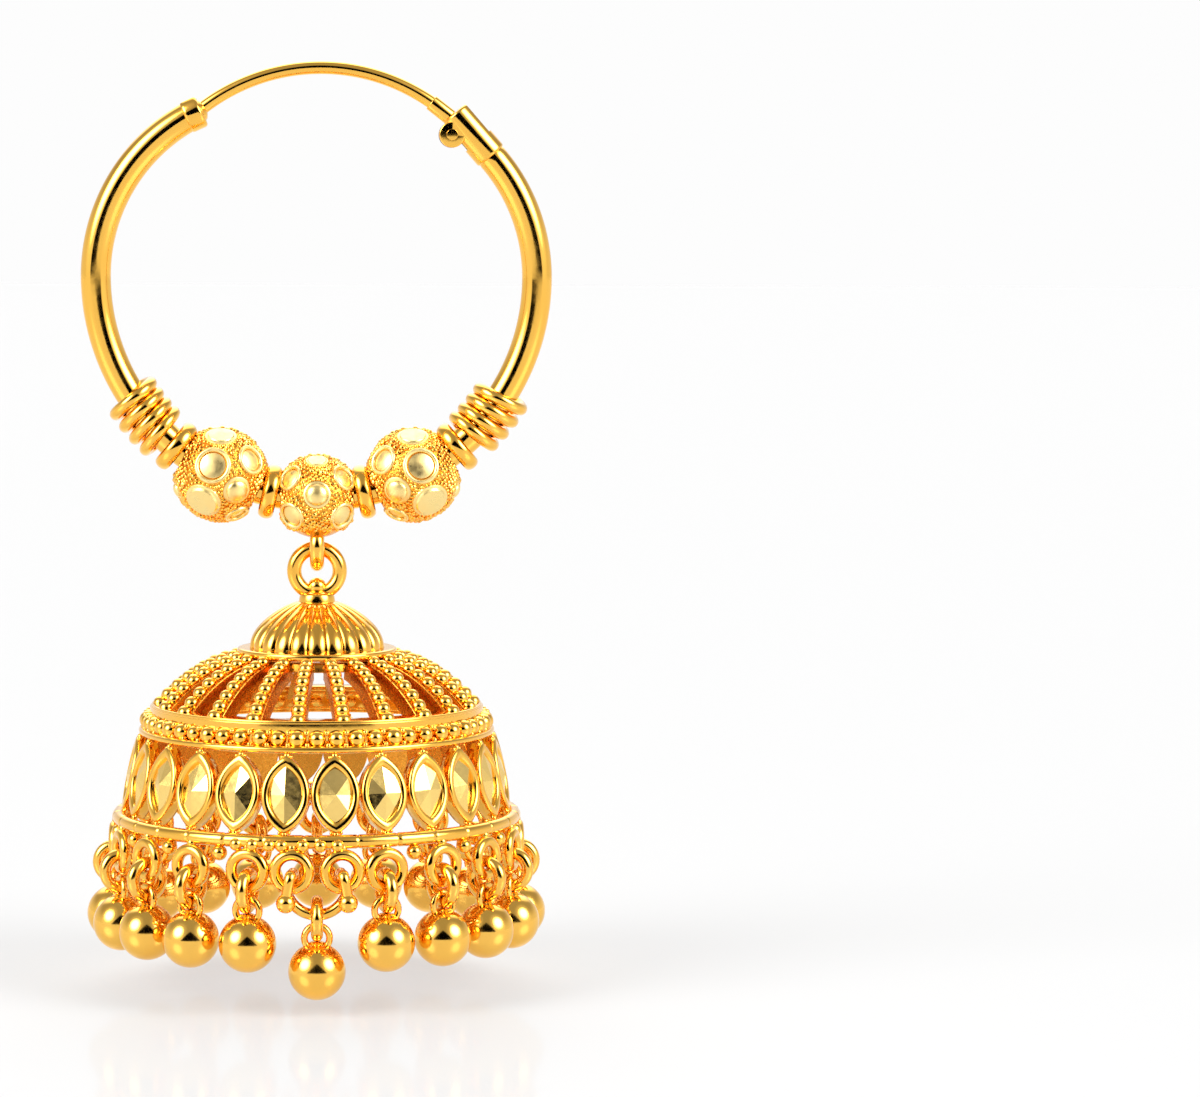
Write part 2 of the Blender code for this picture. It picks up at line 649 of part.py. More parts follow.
def make_bell_cap():
    """Hanging ring, finial ball, fluted dome and flange, with a hollow underside."""
    levels = 4
    profile = [(0, cap_collar_z), (COLLAR_DIAMETER / 2, cap_collar_z)]
    for i in range(levels + 1):
        profile.append((cap_radius_at(i / levels), cap_dome_z - CAP_DOME_HEIGHT * i / levels))
    flange_low = flange_z - FLANGE_THICKNESS
    profile.append((FLANGE_RADIUS, flange_z))
    profile.append((FLANGE_RADIUS, flange_low))
    for i in range(levels, 0, -2):
        z = cap_dome_z - CAP_DOME_HEIGHT * i / levels - (CAP_WALL if i < levels else FLANGE_THICKNESS)
        profile.append((cap_radius_at(i / levels) - CAP_WALL, z))
    profile.append((0, cap_dome_z - CAP_WALL * 2))
    body = turned(profile, 2 * FLUTE_COUNT)
    for vertex in body.data.vertices:
        reach = Vector((vertex.co.x, vertex.co.y)).length
        on_dome = cap_dome_z - CAP_DOME_HEIGHT * 0.97 < vertex.co.z < cap_dome_z - CAP_DOME_HEIGHT * 0.1
        share = (cap_dome_z - vertex.co.z) / CAP_DOME_HEIGHT
        outer = on_dome and reach > cap_radius_at(share) * 0.97
        step = round(atan2(vertex.co.y, vertex.co.x) / (pi / FLUTE_COUNT))
        if outer and step % 2:
            vertex.co.x *= 1 - FLUTE_DEPTH / reach
            vertex.co.y *= 1 - FLUTE_DEPTH / reach
    finial = moved(small_ball(FINIAL_DIAMETER / 2), Matrix.Translation((0, 0, finial_z)))
    hanger = ring(HANGING_RING_RADIUS, hanging_wire_radius, hanging_wire_radius, 12, 6)
    hanger = moved(hanger, frame_of(ring_centre, (0, 1, 0), side=(1, 0, 0)))
    keep(fused(body, [finial, hanger]), "bell_cap", bell_pivot, "polished")


def rib_edge(share):
    """The radius and height of the ribs' outer edge, by the share of the way down."""
    top = Vector((RIBS_TOP_RADIUS, ribs_top_z))
    foot = Vector((RIBS_FOOT_RADIUS, ribs_foot_z))
    middle = Vector((RIBS_TOP_RADIUS + (RIBS_FOOT_RADIUS - RIBS_TOP_RADIUS) * RIBS_BULGE,
                     ribs_top_z - RIBS_HEIGHT * (1 - RIBS_BULGE) * 0.3))
    return top * (1 - share) ** 2 + middle * 2 * share * (1 - share) + foot * share ** 2


def rib():
    """One rib: a flat strip bent down the dome and thickened inward."""
    steps = 3
    mesh = bpy.data.meshes.new("rib")
    strip = []
    for i in range(steps + 1):
        edge = rib_edge(0.06 + 0.88 * i / steps)
        strip += [(edge.x, -RIB_WIDTH / 2, edge.y), (edge.x, RIB_WIDTH / 2, edge.y)]
    faces = [(2 * i, 2 * i + 2, 2 * i + 3, 2 * i + 1) for i in range(steps)]
    mesh.from_pydata(strip, [], faces)
    obj = blank(mesh)
    solid = obj.modifiers.new("thick", "SOLIDIFY")
    solid.thickness = RIB_DEPTH
    solid.offset = -1
    return apply_modifiers(obj)


def front_angle(angle):
    """The turn about Z that takes a piece made on +X to an angle from the front, plus toward +X."""
    return Matrix.Rotation(radians(angle - 90), 4, "Z")


def make_dome_ribs():
    """The pierced dome: ribs soldered between an upper collar and a foot ring."""
    collar_low = ribs_top_z - COLLAR_RING_HEIGHT
    collar = [(RIBS_TOP_RADIUS + RING_REACH / 3, ribs_top_z),
              (RIBS_TOP_RADIUS + 1.5 * RING_REACH, collar_low),
              (RIBS_TOP_RADIUS - 1.5 * RING_REACH, collar_low),
              (RIBS_TOP_RADIUS - 2.7 * RING_REACH, ribs_top_z)]
    foot_top = ribs_foot_z + FOOT_RING_HEIGHT
    foot = [(RIBS_FOOT_RADIUS + RING_REACH / 6, foot_top), (RIBS_FOOT_RADIUS + RING_REACH, ribs_foot_z),
            (RIBS_FOOT_RADIUS - RIB_DEPTH, ribs_foot_z), (RIBS_FOOT_RADIUS - RIB_DEPTH, foot_top)]
    half_step = 180 / RIB_COUNT
    body = moved(turned(collar, RIB_COUNT, closed=True), front_angle(FIRST_RIB_ANGLE + half_step))
    foot_ring = turned(foot, RIB_COUNT, closed=True)
    tools = [moved(foot_ring, front_angle(FIRST_RIB_ANGLE + half_step))]
    one = rib()
    for i in range(RIB_COUNT):
        tools.append(copied(one, front_angle(FIRST_RIB_ANGLE + 360 * i / RIB_COUNT)))
    bpy.data.objects.remove(one, do_unlink=True)
    keep(fused(body, tools), "dome_ribs", bell_pivot, "polished")


def make_granule_band():
    """The row of granules and the plain wire under it, as one beaded ring."""
    granule_radius = GRANULE_DIAMETER / 2
    centre = band_radius - granule_radius
    outline = round_profile(centre, granule_radius, granule_radius, 6, granule_z)
    wire_radius_out = BAND_WIRE_DIAMETER / 2
    body = turned(outline, 30, closed=True)
    top, low = band_wire_z + wire_radius_out, band_wire_z - wire_radius_out
    inside = band_radius - BAND_WIRE_DEPTH
    wire = [(band_radius, top), (band_radius, low), (inside, low), (inside, top)]
    keep(fused(body, [turned(wire, 30, closed=True)]), "granule_band", bell_pivot, "bright")


def marquise(width, height, side_points):
    """The outline of a marquise in (across, up), from its top tip round to the left."""
    half_w, half_h = width / 2, height / 2
    bow = (half_h ** 2 + half_w ** 2) / (2 * half_w)
    reach = asin(half_h / bow)
    side = []
    for i in range(side_points):
        t = reach - 2 * reach * i / side_points
        side.append((half_w - bow + bow * cos(t), bow * sin(t)))
    return side + [(-x, -z) for x, z in side]


def petal():
    """One marquise setting facing +X: a bezel with eight facets rising to a ridge."""
    outer = marquise(PETAL_WIDTH, PETAL_HEIGHT, 4)
    inner = marquise(PETAL_WIDTH - 2 * PETAL_BEZEL, PETAL_HEIGHT - 3.2 * PETAL_BEZEL, 4)
    count = len(outer)
    sink = PETAL_BEZEL * 0.35
    points = [(-PETAL_THICKNESS, y, z) for y, z in outer]
    points += [(0, y, z) for y, z in outer]
    points += [(-sink, y, z) for y, z in inner]
    points.append((PETAL_DOME, 0, 0))
    faces = [tuple(reversed(range(count)))]
    for i in range(count):
        j = (i + 1) % count
        faces += [(i, j, count + j, count + i), (count + i, count + j, 2 * count + j, 2 * count + i),
                  (2 * count + i, 2 * count + j, 3 * count)]
    mesh = bpy.data.meshes.new("petal")
    mesh.from_pydata(points, [], faces)
    work = bmesh.new()
    work.from_mesh(mesh)
    bmesh.ops.recalc_face_normals(work, faces=work.faces)
    work.to_mesh(mesh)
    work.free()
    return blank(mesh)


def make_petal_band():
    """The marquise settings in a ring, joined to each other by small solder joints."""
    lean = atan2(petal_foot_radius - petal_top_radius, PETAL_HEIGHT)
    middle = (petal_foot_radius + petal_top_radius) / 2
    centre_z = (petal_top_z + petal_foot_z) / 2
    stand = Matrix.Translation((middle, 0, centre_z)) @ Matrix.Rotation(-lean, 4, "Y")
    upright = Matrix.Scale(cos(lean), 4, (0, 0, 1))
    one = moved(petal(), stand @ upright)
    spacing = 2 * (middle - PETAL_THICKNESS / 2) * sin(pi / PETAL_COUNT)
    joint_length = spacing - PETAL_WIDTH + 2 * PETAL_BEZEL
    joint = block((PETAL_BEZEL, joint_length, PETAL_BEZEL))
    joint_reach = (middle - PETAL_THICKNESS / 2) * cos(pi / PETAL_COUNT)
    joint = moved(joint, Matrix.Translation((joint_reach, 0, centre_z)))
    tools = []
    for i in range(PETAL_COUNT):
        angle = FIRST_PETAL_ANGLE + 360 * i / PETAL_COUNT
        if i:
            tools.append(copied(one, front_angle(angle)))
        tools.append(copied(joint, front_angle(angle + 180 / PETAL_COUNT)))
    bpy.data.objects.remove(joint, do_unlink=True)
    first = moved(one, front_angle(FIRST_PETAL_ANGLE))
    keep(fused(first, tools), "petal_band", bell_pivot, "bright", smooth=10)


def drop_angles():
    """The loops that hold a drop, from the front round each side to the back."""
    step = (180 - FIRST_LOOP_ANGLE) / SIDE_LOOP_COUNT
    side = [FIRST_LOOP_ANGLE + step * i for i in range(SIDE_LOOP_COUNT)]
    return side + [180] + [-angle for angle in reversed(side)]


def make_rim():
    """The rim wire with its row of loops, which face outward."""
    body = ring(rim_radius, RIM_WIRE_DIAMETER / 2, RIM_WIRE_DIAMETER / 2, 36, LINK_SIDES)
    body = moved(body, Matrix.Translation((0, 0, rim_z)))
    loop_wire = LOOP_WIRE_DIAMETER / 2
    loop = moved(ring(LOOP_RADIUS, loop_wire, loop_wire, ROUND_SIDES, LINK_SIDES),
                 frame_of((loop_ring_radius, 0, loop_z), (1, 0, 0)))
    angles = [-PAIR_LOOP_ANGLE, PAIR_LOOP_ANGLE] + drop_angles()
    tools = [copied(loop, front_angle(angle)) for angle in angles]
    bpy.data.objects.remove(loop, do_unlink=True)
    keep(fused(body, tools), "rim", bell_pivot, "polished")


def swag_point(angle):
    """A point of the swag link's lower arc, with the angle from straight down."""
    return Vector((SWAG_RADIUS * sin(radians(angle)), swag_y, swag_z - SWAG_RADIUS * cos(radians(angle))))


# The swag link passes through both front loops from behind
swag_wire_radius = SWAG_WIRE_DIAMETER / 2
pair_x = loop_ring_radius * sin(radians(PAIR_LOOP_ANGLE))
pair_y = -loop_ring_radius * cos(radians(PAIR_LOOP_ANGLE))
swag_thread_z = loop_z - LOOP_RADIUS + LOOP_WIRE_DIAMETER / 2 + swag_wire_radius + LINK_GAP
swag_y = pair_y + LOOP_WIRE_DIAMETER / 2 + swag_wire_radius + LINK_GAP
swag_z = loop_z - LOOP_RADIUS - SWAG_HANG


def make_swag_link():
    """The U-shaped link between the two front loops, with a ball on each end."""
    reach = LOOP_WIRE_DIAMETER / 2 + swag_wire_radius + LINK_GAP
    arc = [swag_point(angle) for angle in arc_angles(-72, 72, 8)]
    ends = []
    for side in (-1, 1):
        radial = Vector((side * sin(radians(PAIR_LOOP_ANGLE)), -cos(radians(PAIR_LOOP_ANGLE)), 0))
        hole = Vector((side * pair_x, pair_y, swag_thread_z))
        behind = hole - radial * reach
        front = hole + radial * reach
        rise = Vector((0, 0, LOOP_WIRE_DIAMETER))
        end = front + Vector((side * SWAG_END_SPLAY, 0, -SWAG_END_LENGTH))
        ends.append([behind - rise, behind, hole, front, end])
    points = list(reversed(ends[0])) + arc + ends[1]
    wire = tube_along(points, swag_wire_radius, 1)
    below = Vector((0, 0, SWAG_BALL_DROP))
    balls = [moved(small_ball(SWAG_BALL_DIAMETER / 2), Matrix.Translation(end[-1] - below)) for end in ends]
    keep(fused(wire, balls), "swag_link", bell_pivot, "polished")


def drop_shape():
    """One drop, hung from the centre of its jump ring: the ring, the ball's neck and the ball."""
    jump_wire = JUMP_WIRE_DIAMETER / 2
    jump = moved(ring(JUMP_RING_RADIUS, jump_wire, jump_wire, ROUND_SIDES, LINK_SIDES),
                 frame_of((0, 0, 0), (0, 1, 0), side=(1, 0, 0)))
    neck_top = -JUMP_RING_RADIUS
    ball_top = neck_top - NECK_HEIGHT
    neck_foot = ball_top - BALL_DIAMETER * 0.12
    neck = moved(rod(NECK_FOOT_DIAMETER / 2, NECK_DIAMETER / 2, neck_top - neck_foot, 6),
                 Matrix.Translation((0, 0, (neck_top + neck_foot) / 2)))
    bulb = moved(small_ball(BALL_DIAMETER / 2), Matrix.Translation((0, 0, ball_top - BALL_DIAMETER / 2)))
    return fused(bulb, [neck, jump])


def make_drops():
    """A ball drop on each outer loop, and one on the swag link, numbered round from the front."""
    shape = drop_shape()
    hang = loop_ring_radius
    for number, angle in enumerate(drop_angles(), start=2):
        place = front_angle(angle) @ Matrix.Translation((hang, 0, jump_ring_z))
        keep(copied(shape, place), f"drop_{number:02d}", bell_pivot, "polished", origin=place.translation)
    centre_z = swag_z - SWAG_RADIUS + swag_wire_radius + jump_hang
    place = Matrix.Translation((0, swag_y, centre_z)) @ Matrix.Rotation(-pi / 2, 4, "Z")
    keep(moved(shape, place), "drop_01", bell_pivot, "polished", origin=place.translation)


make_hoop_tube()
make_catch_cap()
make_hinge()
make_ear_wire()
make_coils()
make_spacer_rings()
make_side_beads()
make_centre_bead()
make_bell_cap()
make_dome_ribs()
make_granule_band()
make_petal_band()
make_rim()
make_swag_link()
make_drops()
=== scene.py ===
"""The looks of a gold jhumka earring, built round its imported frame.

Metres, +Z up, with the front facing -Y. The earring hangs from the origin, the top of its ear wire.
"""
import random
from math import asin, atan2, cos, degrees, pi, radians, sin, sqrt

import bmesh
import bpy
from mathutils import Matrix, Vector


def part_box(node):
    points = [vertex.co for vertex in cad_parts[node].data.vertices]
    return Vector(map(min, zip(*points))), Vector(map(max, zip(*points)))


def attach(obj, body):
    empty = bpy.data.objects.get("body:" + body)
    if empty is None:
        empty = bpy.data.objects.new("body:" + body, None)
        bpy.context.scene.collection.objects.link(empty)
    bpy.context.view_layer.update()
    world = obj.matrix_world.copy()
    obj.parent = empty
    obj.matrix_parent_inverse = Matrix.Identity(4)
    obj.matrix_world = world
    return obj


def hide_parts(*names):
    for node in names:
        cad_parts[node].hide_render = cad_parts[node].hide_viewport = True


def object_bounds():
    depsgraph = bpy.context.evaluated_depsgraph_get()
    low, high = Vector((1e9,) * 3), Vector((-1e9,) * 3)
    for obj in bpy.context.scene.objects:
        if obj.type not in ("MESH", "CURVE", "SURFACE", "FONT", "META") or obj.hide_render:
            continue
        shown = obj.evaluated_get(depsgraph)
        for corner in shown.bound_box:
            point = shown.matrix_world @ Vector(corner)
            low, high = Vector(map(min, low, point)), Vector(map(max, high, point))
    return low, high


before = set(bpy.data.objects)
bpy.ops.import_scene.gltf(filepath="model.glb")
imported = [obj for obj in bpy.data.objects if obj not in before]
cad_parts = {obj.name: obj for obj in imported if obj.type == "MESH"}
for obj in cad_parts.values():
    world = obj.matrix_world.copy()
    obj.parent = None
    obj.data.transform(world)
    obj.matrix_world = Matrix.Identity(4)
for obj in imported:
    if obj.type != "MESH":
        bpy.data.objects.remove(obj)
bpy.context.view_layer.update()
MM = 0.001

# Hoop tube. Drawn 22 carat gold tube, bent to an open ring: a half circle below and two flatter arcs above.
# It carries the coils, rings and beads, and its ends go into the catch cap and the hinge barrel.
TUBE_DIAMETER = 1.86 * MM
HOOP_RADIUS = 13.60 * MM
SHOULDER_RADIUS = 11.30 * MM
HOOP_CENTRE_DEPTH = 12.88 * MM
LATCH_END_ANGLE = 25.1             # the catch cap's mouth, in degrees from straight up
LATCH_SETBACK = 3.0                # degrees that the tube ends short of that mouth
HINGE_END_ANGLE = 49.0             # the tube's end in the hinge barrel
TONE_SIZE = 3.0 * MM               # how far the alloy's tone drifts
LEAST_SCATTER = 0.7                # of a finish's roughness, between its marks
MOST_SCATTER = 1.4

tube_radius = TUBE_DIAMETER / 2
hoop_centre = Vector((0, 0, -HOOP_CENTRE_DEPTH))


def linear(hex_colour):
    """An sRGB hex colour as linear RGBA."""
    channels = [int(hex_colour[i:i + 2], 16) / 255 for i in (1, 3, 5)]
    return [c / 12.92 if c <= 0.04045 else ((c + 0.055) / 1.055) ** 2.4 for c in channels] + [1.0]


def add_node(tree, kind, sockets=None, **settings):
    """Add a node with its settings, and give each named or numbered socket a value or a link."""
    node = tree.nodes.new(kind)
    for name, value in settings.items():
        setattr(node, name, value)
    for name, value in (sockets or {}).items():
        if isinstance(value, bpy.types.NodeSocket):
            tree.links.new(value, node.inputs[name])
        else:
            node.inputs[name].default_value = value
    return node


def gold_finish(name, light, deep, roughness, mark_size, mark_depth):
    """Gold whose tone drifts between two colours, with fine marks that bend and scatter its shine."""
    material = bpy.data.materials.new(name)
    material.use_nodes = True
    tree = material.node_tree
    shader = tree.nodes["Principled BSDF"]
    place = add_node(tree, "ShaderNodeTexCoord").outputs["Object"]
    drift = add_node(tree, "ShaderNodeTexNoise", {"Vector": place, "Scale": 1 / TONE_SIZE, "Detail": 2.0})
    tone = add_node(tree, "ShaderNodeMix", {0: drift.outputs["Fac"], 6: linear(light), 7: linear(deep)},
                    data_type="RGBA")
    marks = add_node(tree, "ShaderNodeTexNoise", {"Vector": place, "Scale": 1 / mark_size, "Detail": 4.0})
    scatter = add_node(tree, "ShaderNodeMapRange", {
        "Value": marks.outputs["Fac"], "From Min": 0.3, "From Max": 0.7,
        "To Min": roughness * LEAST_SCATTER, "To Max": roughness * MOST_SCATTER})
    relief = add_node(tree, "ShaderNodeBump", {"Height": marks.outputs["Fac"], "Distance": mark_depth})
    tree.links.new(tone.outputs[2], shader.inputs["Base Color"])
    tree.links.new(scatter.outputs["Result"], shader.inputs["Roughness"])
    tree.links.new(relief.outputs["Normal"], shader.inputs["Normal"])
    shader.inputs["Metallic"].default_value = 1.0
    return material


# Drawn gold, tumbled and buffed: a mirror with a soft edge to its highlights and a faint unevenness
buffed_gold = gold_finish("buffed_22k_gold", "#FFC95E", "#FFC04E", 0.09, 0.55 * MM, 0.0010 * MM)


def piece(name, work, finish, body, *stands_for, slot="polished_gold", crease=35):
    """Make the modelled mesh a piece of the earring: it rides on a body and stands for CAD nodes."""
    bmesh.ops.recalc_face_normals(work, faces=work.faces)
    mesh = bpy.data.meshes.new(name)
    work.to_mesh(mesh)
    work.free()
    mesh.materials.append(finish)
    mesh.shade_smooth()
    mesh.set_sharp_from_angle(angle=radians(crease))
    made = bpy.data.objects.new(name, mesh)
    bpy.context.scene.collection.objects.link(made)
    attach(made, body)
    if stands_for:
        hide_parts(*stands_for)
    return made


def add_skin(work, loops, closed):
    """Faces between neighbouring loops of corners; open ends are closed with a flat face."""
    rows = [[work.verts.new(corner) for corner in loop] for loop in loops]
    for lower, upper in zip(rows, rows[1:] + (rows[:1] if closed else [])):
        for i in range(len(lower)):
            work.faces.new((lower[i - 1], lower[i], upper[i], upper[i - 1]))
    if not closed:
        work.faces.new(rows[0])
        work.faces.new(rows[-1])


def full_turn(count):
    """Evenly spaced angles round a full turn."""
    return [2 * pi * i / count for i in range(count)]


def add_wire(work, points, radius, sides=24, closed=False):
    """A round wire along a chain of points. The radius is one number or one for each point."""
    radii = radius if isinstance(radius, list) else [radius] * len(points)
    following = points[1:] + (points[:1] if closed else points[-1:])
    leading = (points[-1:] if closed else points[:1]) + points[:-1]
    along = [(after - before).normalized() for before, after in zip(leading, following)]
    chain = list(zip(points, radii, along))
    if not closed:
        rounding = [radians(angle) for angle in (72, 48, 24)]
        chain = ([(points[0] - along[0] * radii[0] * sin(t), radii[0] * cos(t), along[0]) for t in rounding]
                 + chain
                 + [(points[-1] + along[-1] * radii[-1] * sin(t), radii[-1] * cos(t), along[-1])
                    for t in reversed(rounding)])
    across = along[0].orthogonal()
    loops = []
    for point, size, direction in chain:
        across = (across - direction * across.dot(direction)).normalized()
        beside = direction.cross(across)
        loops.append([point + size * (cos(t) * across + sin(t) * beside) for t in full_turn(sides)])
    add_skin(work, loops, closed)


def frame_of(origin, along, side=Vector((0, 1, 0))):
    """The matrix that puts the origin at a point, Z along a direction and Y along another."""
    z_axis = Vector(along).normalized()
    x_axis = Vector(side).cross(z_axis).normalized()
    return Matrix.Translation(origin) @ Matrix((x_axis, z_axis.cross(x_axis), z_axis)).transposed().to_4x4()


def shoulder_point(angle):
    """A point of the upper arcs, with the angle from straight up, plus toward the hinge."""
    side = 1 if angle > 0 else -1
    across = side * (HOOP_RADIUS - SHOULDER_RADIUS) + SHOULDER_RADIUS * sin(radians(angle))
    return hoop_centre + Vector((across, 0, SHOULDER_RADIUS * cos(radians(angle))))


def shoulder_direction(angle):
    """The tube's direction at that point, toward its end."""
    side = 1 if angle > 0 else -1
    return Vector((-side * cos(radians(angle)), 0, side * sin(radians(angle))))


def hoop_frame(distance):
    """The frame on the lower half, by the distance from the bottom: Z along the tube, Y to the back."""
    turn = distance / HOOP_RADIUS
    point = hoop_centre + HOOP_RADIUS * Vector((sin(turn), 0, -cos(turn)))
    return frame_of(point, (cos(turn), 0, sin(turn)))


def spread(start, stop, steps):
    """Evenly spaced values from one to the other."""
    return [start + (stop - start) * i / steps for i in range(steps + 1)]


def hoop_line():
    """The centreline of the tube, from inside the catch cap round to inside the hinge barrel."""
    left = [shoulder_point(-angle) for angle in spread(LATCH_END_ANGLE + LATCH_SETBACK, 90, 48)]
    below = [hoop_frame(radians(angle) * HOOP_RADIUS).translation for angle in spread(-90, 90, 144)]
    right = [shoulder_point(angle) for angle in spread(90, HINGE_END_ANGLE, 32)]
    return left + below[1:-1] + right


work = bmesh.new()
add_wire(work, hoop_line(), tube_radius, sides=40)
piece("tube_of_the_hoop", work, buffed_gold, "hoop", "hoop_tube")

# Catch cap. A turned cup soldered over the tube's left end, with a filed notch that the ear wire springs
# into. Its edges are rounded by the buffing wheel.
CAP_DIAMETER = 2.10 * MM
CAP_LENGTH = 1.10 * MM
CAP_BACK_WALL = 0.20 * MM
CAP_EDGE = 0.22 * MM
NOTCH_WIDTH = 1.00 * MM
NOTCH_DEPTH = 0.55 * MM            # below the wire's centreline
NOTCH_TILT = 13.6                  # the wire's slope against the cap, in degrees
CORNER_SHARE = 0.48                # of a side, the most that a rounded corner takes
ON_AXIS = 1e-6                     # a profile's point nearer to the turning axis than this lies on it

cap_mouth = shoulder_point(-LATCH_END_ANGLE)
cap_axis = shoulder_direction(-LATCH_END_ANGLE)
cap_outward = Vector((-cap_axis.z, 0, cap_axis.x))


def bend(start, middle, stop, share):
    """A point of the curve that leaves its start toward the middle point and then bends to its stop."""
    return start * (1 - share) ** 2 + middle * 2 * share * (1 - share) + stop * share ** 2


def eased(corners, radius, steps=4):
    """A closed outline of (x, y) corners, rounded over except where it meets the turning axis."""
    outline = []
    for i, corner in enumerate(corners):
        here = Vector(corner)
        before = Vector(corners[i - 1]) - here
        after = Vector(corners[(i + 1) % len(corners)]) - here
        if here.x < ON_AXIS:
            outline.append(here)
            continue
        reach = min(radius, before.length * CORNER_SHARE, after.length * CORNER_SHARE)
        start, stop = here + before.normalized() * reach, here + after.normalized() * reach
        outline += [bend(start, here, stop, t) for t in spread(0, 1, steps)]
    return outline


def add_turned(work, profile, steps, place=Matrix()):
    """A closed profile of (radius, height) points, turned about Z and put in its place."""
    rows = []
    for radius, height in profile:
        turns = full_turn(steps) if radius > ON_AXIS else [0]
        rows.append([work.verts.new(place @ Vector((radius * cos(t), radius * sin(t), height)))
                     for t in turns])
    for upper, lower in zip(rows, rows[1:] + rows[:1]):
        for i in range(steps):
            corners = (upper[(i - 1) % len(upper)], upper[i % len(upper)],
                       lower[i % len(lower)], lower[(i - 1) % len(lower)])
            corners = list(dict.fromkeys(corners))
            if len(corners) > 2:
                work.faces.new(corners)


def add_ball(work, radius, place, segments=28):
    """A ball with its middle at the place."""
    meridian = [(radius * sin(t), radius * cos(t)) for t in spread(0, pi, segments * 5 // 8)]
    add_turned(work, meridian, segments, place)


def add_block(work, size, place):
    """A block with its middle at the place."""
    bmesh.ops.create_cube(work, size=1.0, matrix=place @ Matrix.Diagonal((*size, 1)))


def filed(work, tools, operation="DIFFERENCE"):
    """The mesh after the tools have been cut from it, or joined to it."""
    def loose(mesh_work):
        mesh = bpy.data.meshes.new("rough")
        bmesh.ops.recalc_face_normals(mesh_work, faces=mesh_work.faces)
        mesh_work.to_mesh(mesh)
        mesh_work.free()
        rough = bpy.data.objects.new("rough", mesh)
        bpy.context.scene.collection.objects.link(rough)
        return rough

    body = loose(work)
    rough_tools = [loose(tool) for tool in tools]
    for tool in rough_tools:
        cut = body.modifiers.new("cut", "BOOLEAN")
        cut.operation = operation
        cut.solver = "EXACT"
        cut.object = tool
    bpy.context.view_layer.update()
    result = bmesh.new()
    result.from_object(body, bpy.context.evaluated_depsgraph_get())
    for rough in [body] + rough_tools:
        bpy.data.objects.remove(rough)
    return result


def rod_outline(radius, length, edge):
    """The profile of a solid rod about Z, centred on the origin, with rounded edges."""
    return eased([(0, -length / 2), (radius, -length / 2), (radius, length / 2), (0, length / 2)], edge)


cap = bmesh.new()
add_turned(cap, rod_outline(CAP_DIAMETER / 2, CAP_LENGTH, CAP_EDGE), 48,
           frame_of(cap_mouth - cap_axis * CAP_LENGTH / 2, cap_axis))
notch = bmesh.new()
notch_height = CAP_DIAMETER + NOTCH_DEPTH
along_wire = Matrix.Rotation(radians(-NOTCH_TILT), 3, "Y")
notch_middle = cap_mouth + along_wire @ cap_outward * (notch_height / 2 - NOTCH_DEPTH)
add_block(notch, (notch_height, NOTCH_WIDTH, 2 * (CAP_LENGTH - CAP_BACK_WALL)),
          frame_of(notch_middle, along_wire @ cap_axis))
piece("notched_catch_cap", filed(cap, [notch]), buffed_gold, "hoop", "catch_cap")

# Hinge barrel and pin. A thicker tube soldered on the right end, slotted for the ear wire, with a knuckle
# on the hoop's inside. A pin goes through the knuckle, its ends riveted to flat heads that cover the hole.
BARREL_DIAMETER = 2.04 * MM
BARREL_LENGTH = 3.50 * MM
BARREL_EDGE = 0.20 * MM
PIN_SETBACK = 0.91 * MM
PIN_DROP = 0.99 * MM
KNUCKLE_RADIUS = 0.80 * MM
KNUCKLE_WIDTH = 1.80 * MM
KNUCKLE_EDGE = 0.10 * MM
PIN_DIAMETER = 0.40 * MM
PIN_GAP = 0.08 * MM
RIVET_DIAMETER = 0.70 * MM
RIVET_THICKNESS = 0.05 * MM
SLOT_WIDTH = 1.04 * MM
SLOT_LENGTH = 2.25 * MM
SEAT_GAP = 0.12 * MM

barrel_axis = shoulder_direction(HINGE_END_ANGLE)
barrel_inward = Vector((-barrel_axis.z, 0, barrel_axis.x))
barrel_start = shoulder_point(HINGE_END_ANGLE) + SEAT_GAP * barrel_axis
barrel_mouth = barrel_start + BARREL_LENGTH * barrel_axis
pin_point = barrel_mouth - PIN_SETBACK * barrel_axis + PIN_DROP * barrel_inward
pin_frame = frame_of(pin_point, (0, 1, 0), side=(1, 0, 0))

barrel = bmesh.new()
add_turned(barrel, rod_outline(BARREL_DIAMETER / 2, BARREL_LENGTH, BARREL_EDGE), 48,
           frame_of((barrel_start + barrel_mouth) / 2, barrel_axis))
knuckle = bmesh.new()
add_turned(knuckle, rod_outline(KNUCKLE_RADIUS, KNUCKLE_WIDTH, KNUCKLE_EDGE), 40, pin_frame)
slot = bmesh.new()
add_block(slot, (4 * BARREL_DIAMETER, SLOT_WIDTH, 2 * SLOT_LENGTH), frame_of(barrel_mouth, barrel_axis))
pin_hole = bmesh.new()
add_turned(pin_hole, rod_outline(PIN_DIAMETER / 2 + PIN_GAP, 2 * KNUCKLE_WIDTH, 0), 24, pin_frame)
barrel = filed(filed(barrel, [knuckle], "UNION"), [slot, pin_hole])
piece("slotted_hinge_barrel", barrel, buffed_gold, "hoop", "hinge_barrel")

work = bmesh.new()
add_turned(work, rod_outline(PIN_DIAMETER / 2, KNUCKLE_WIDTH, 0), 24, pin_frame)
for side in (-1, 1):
    head = pin_frame @ Matrix.Translation((0, 0, side * KNUCKLE_WIDTH / 2))
    add_turned(work, rod_outline(RIVET_DIAMETER / 2, 2 * RIVET_THICKNESS, RIVET_THICKNESS / 2), 32, head)
piece("rivet_pin_of_the_hinge", work, buffed_gold, "hoop", "hinge_pin")

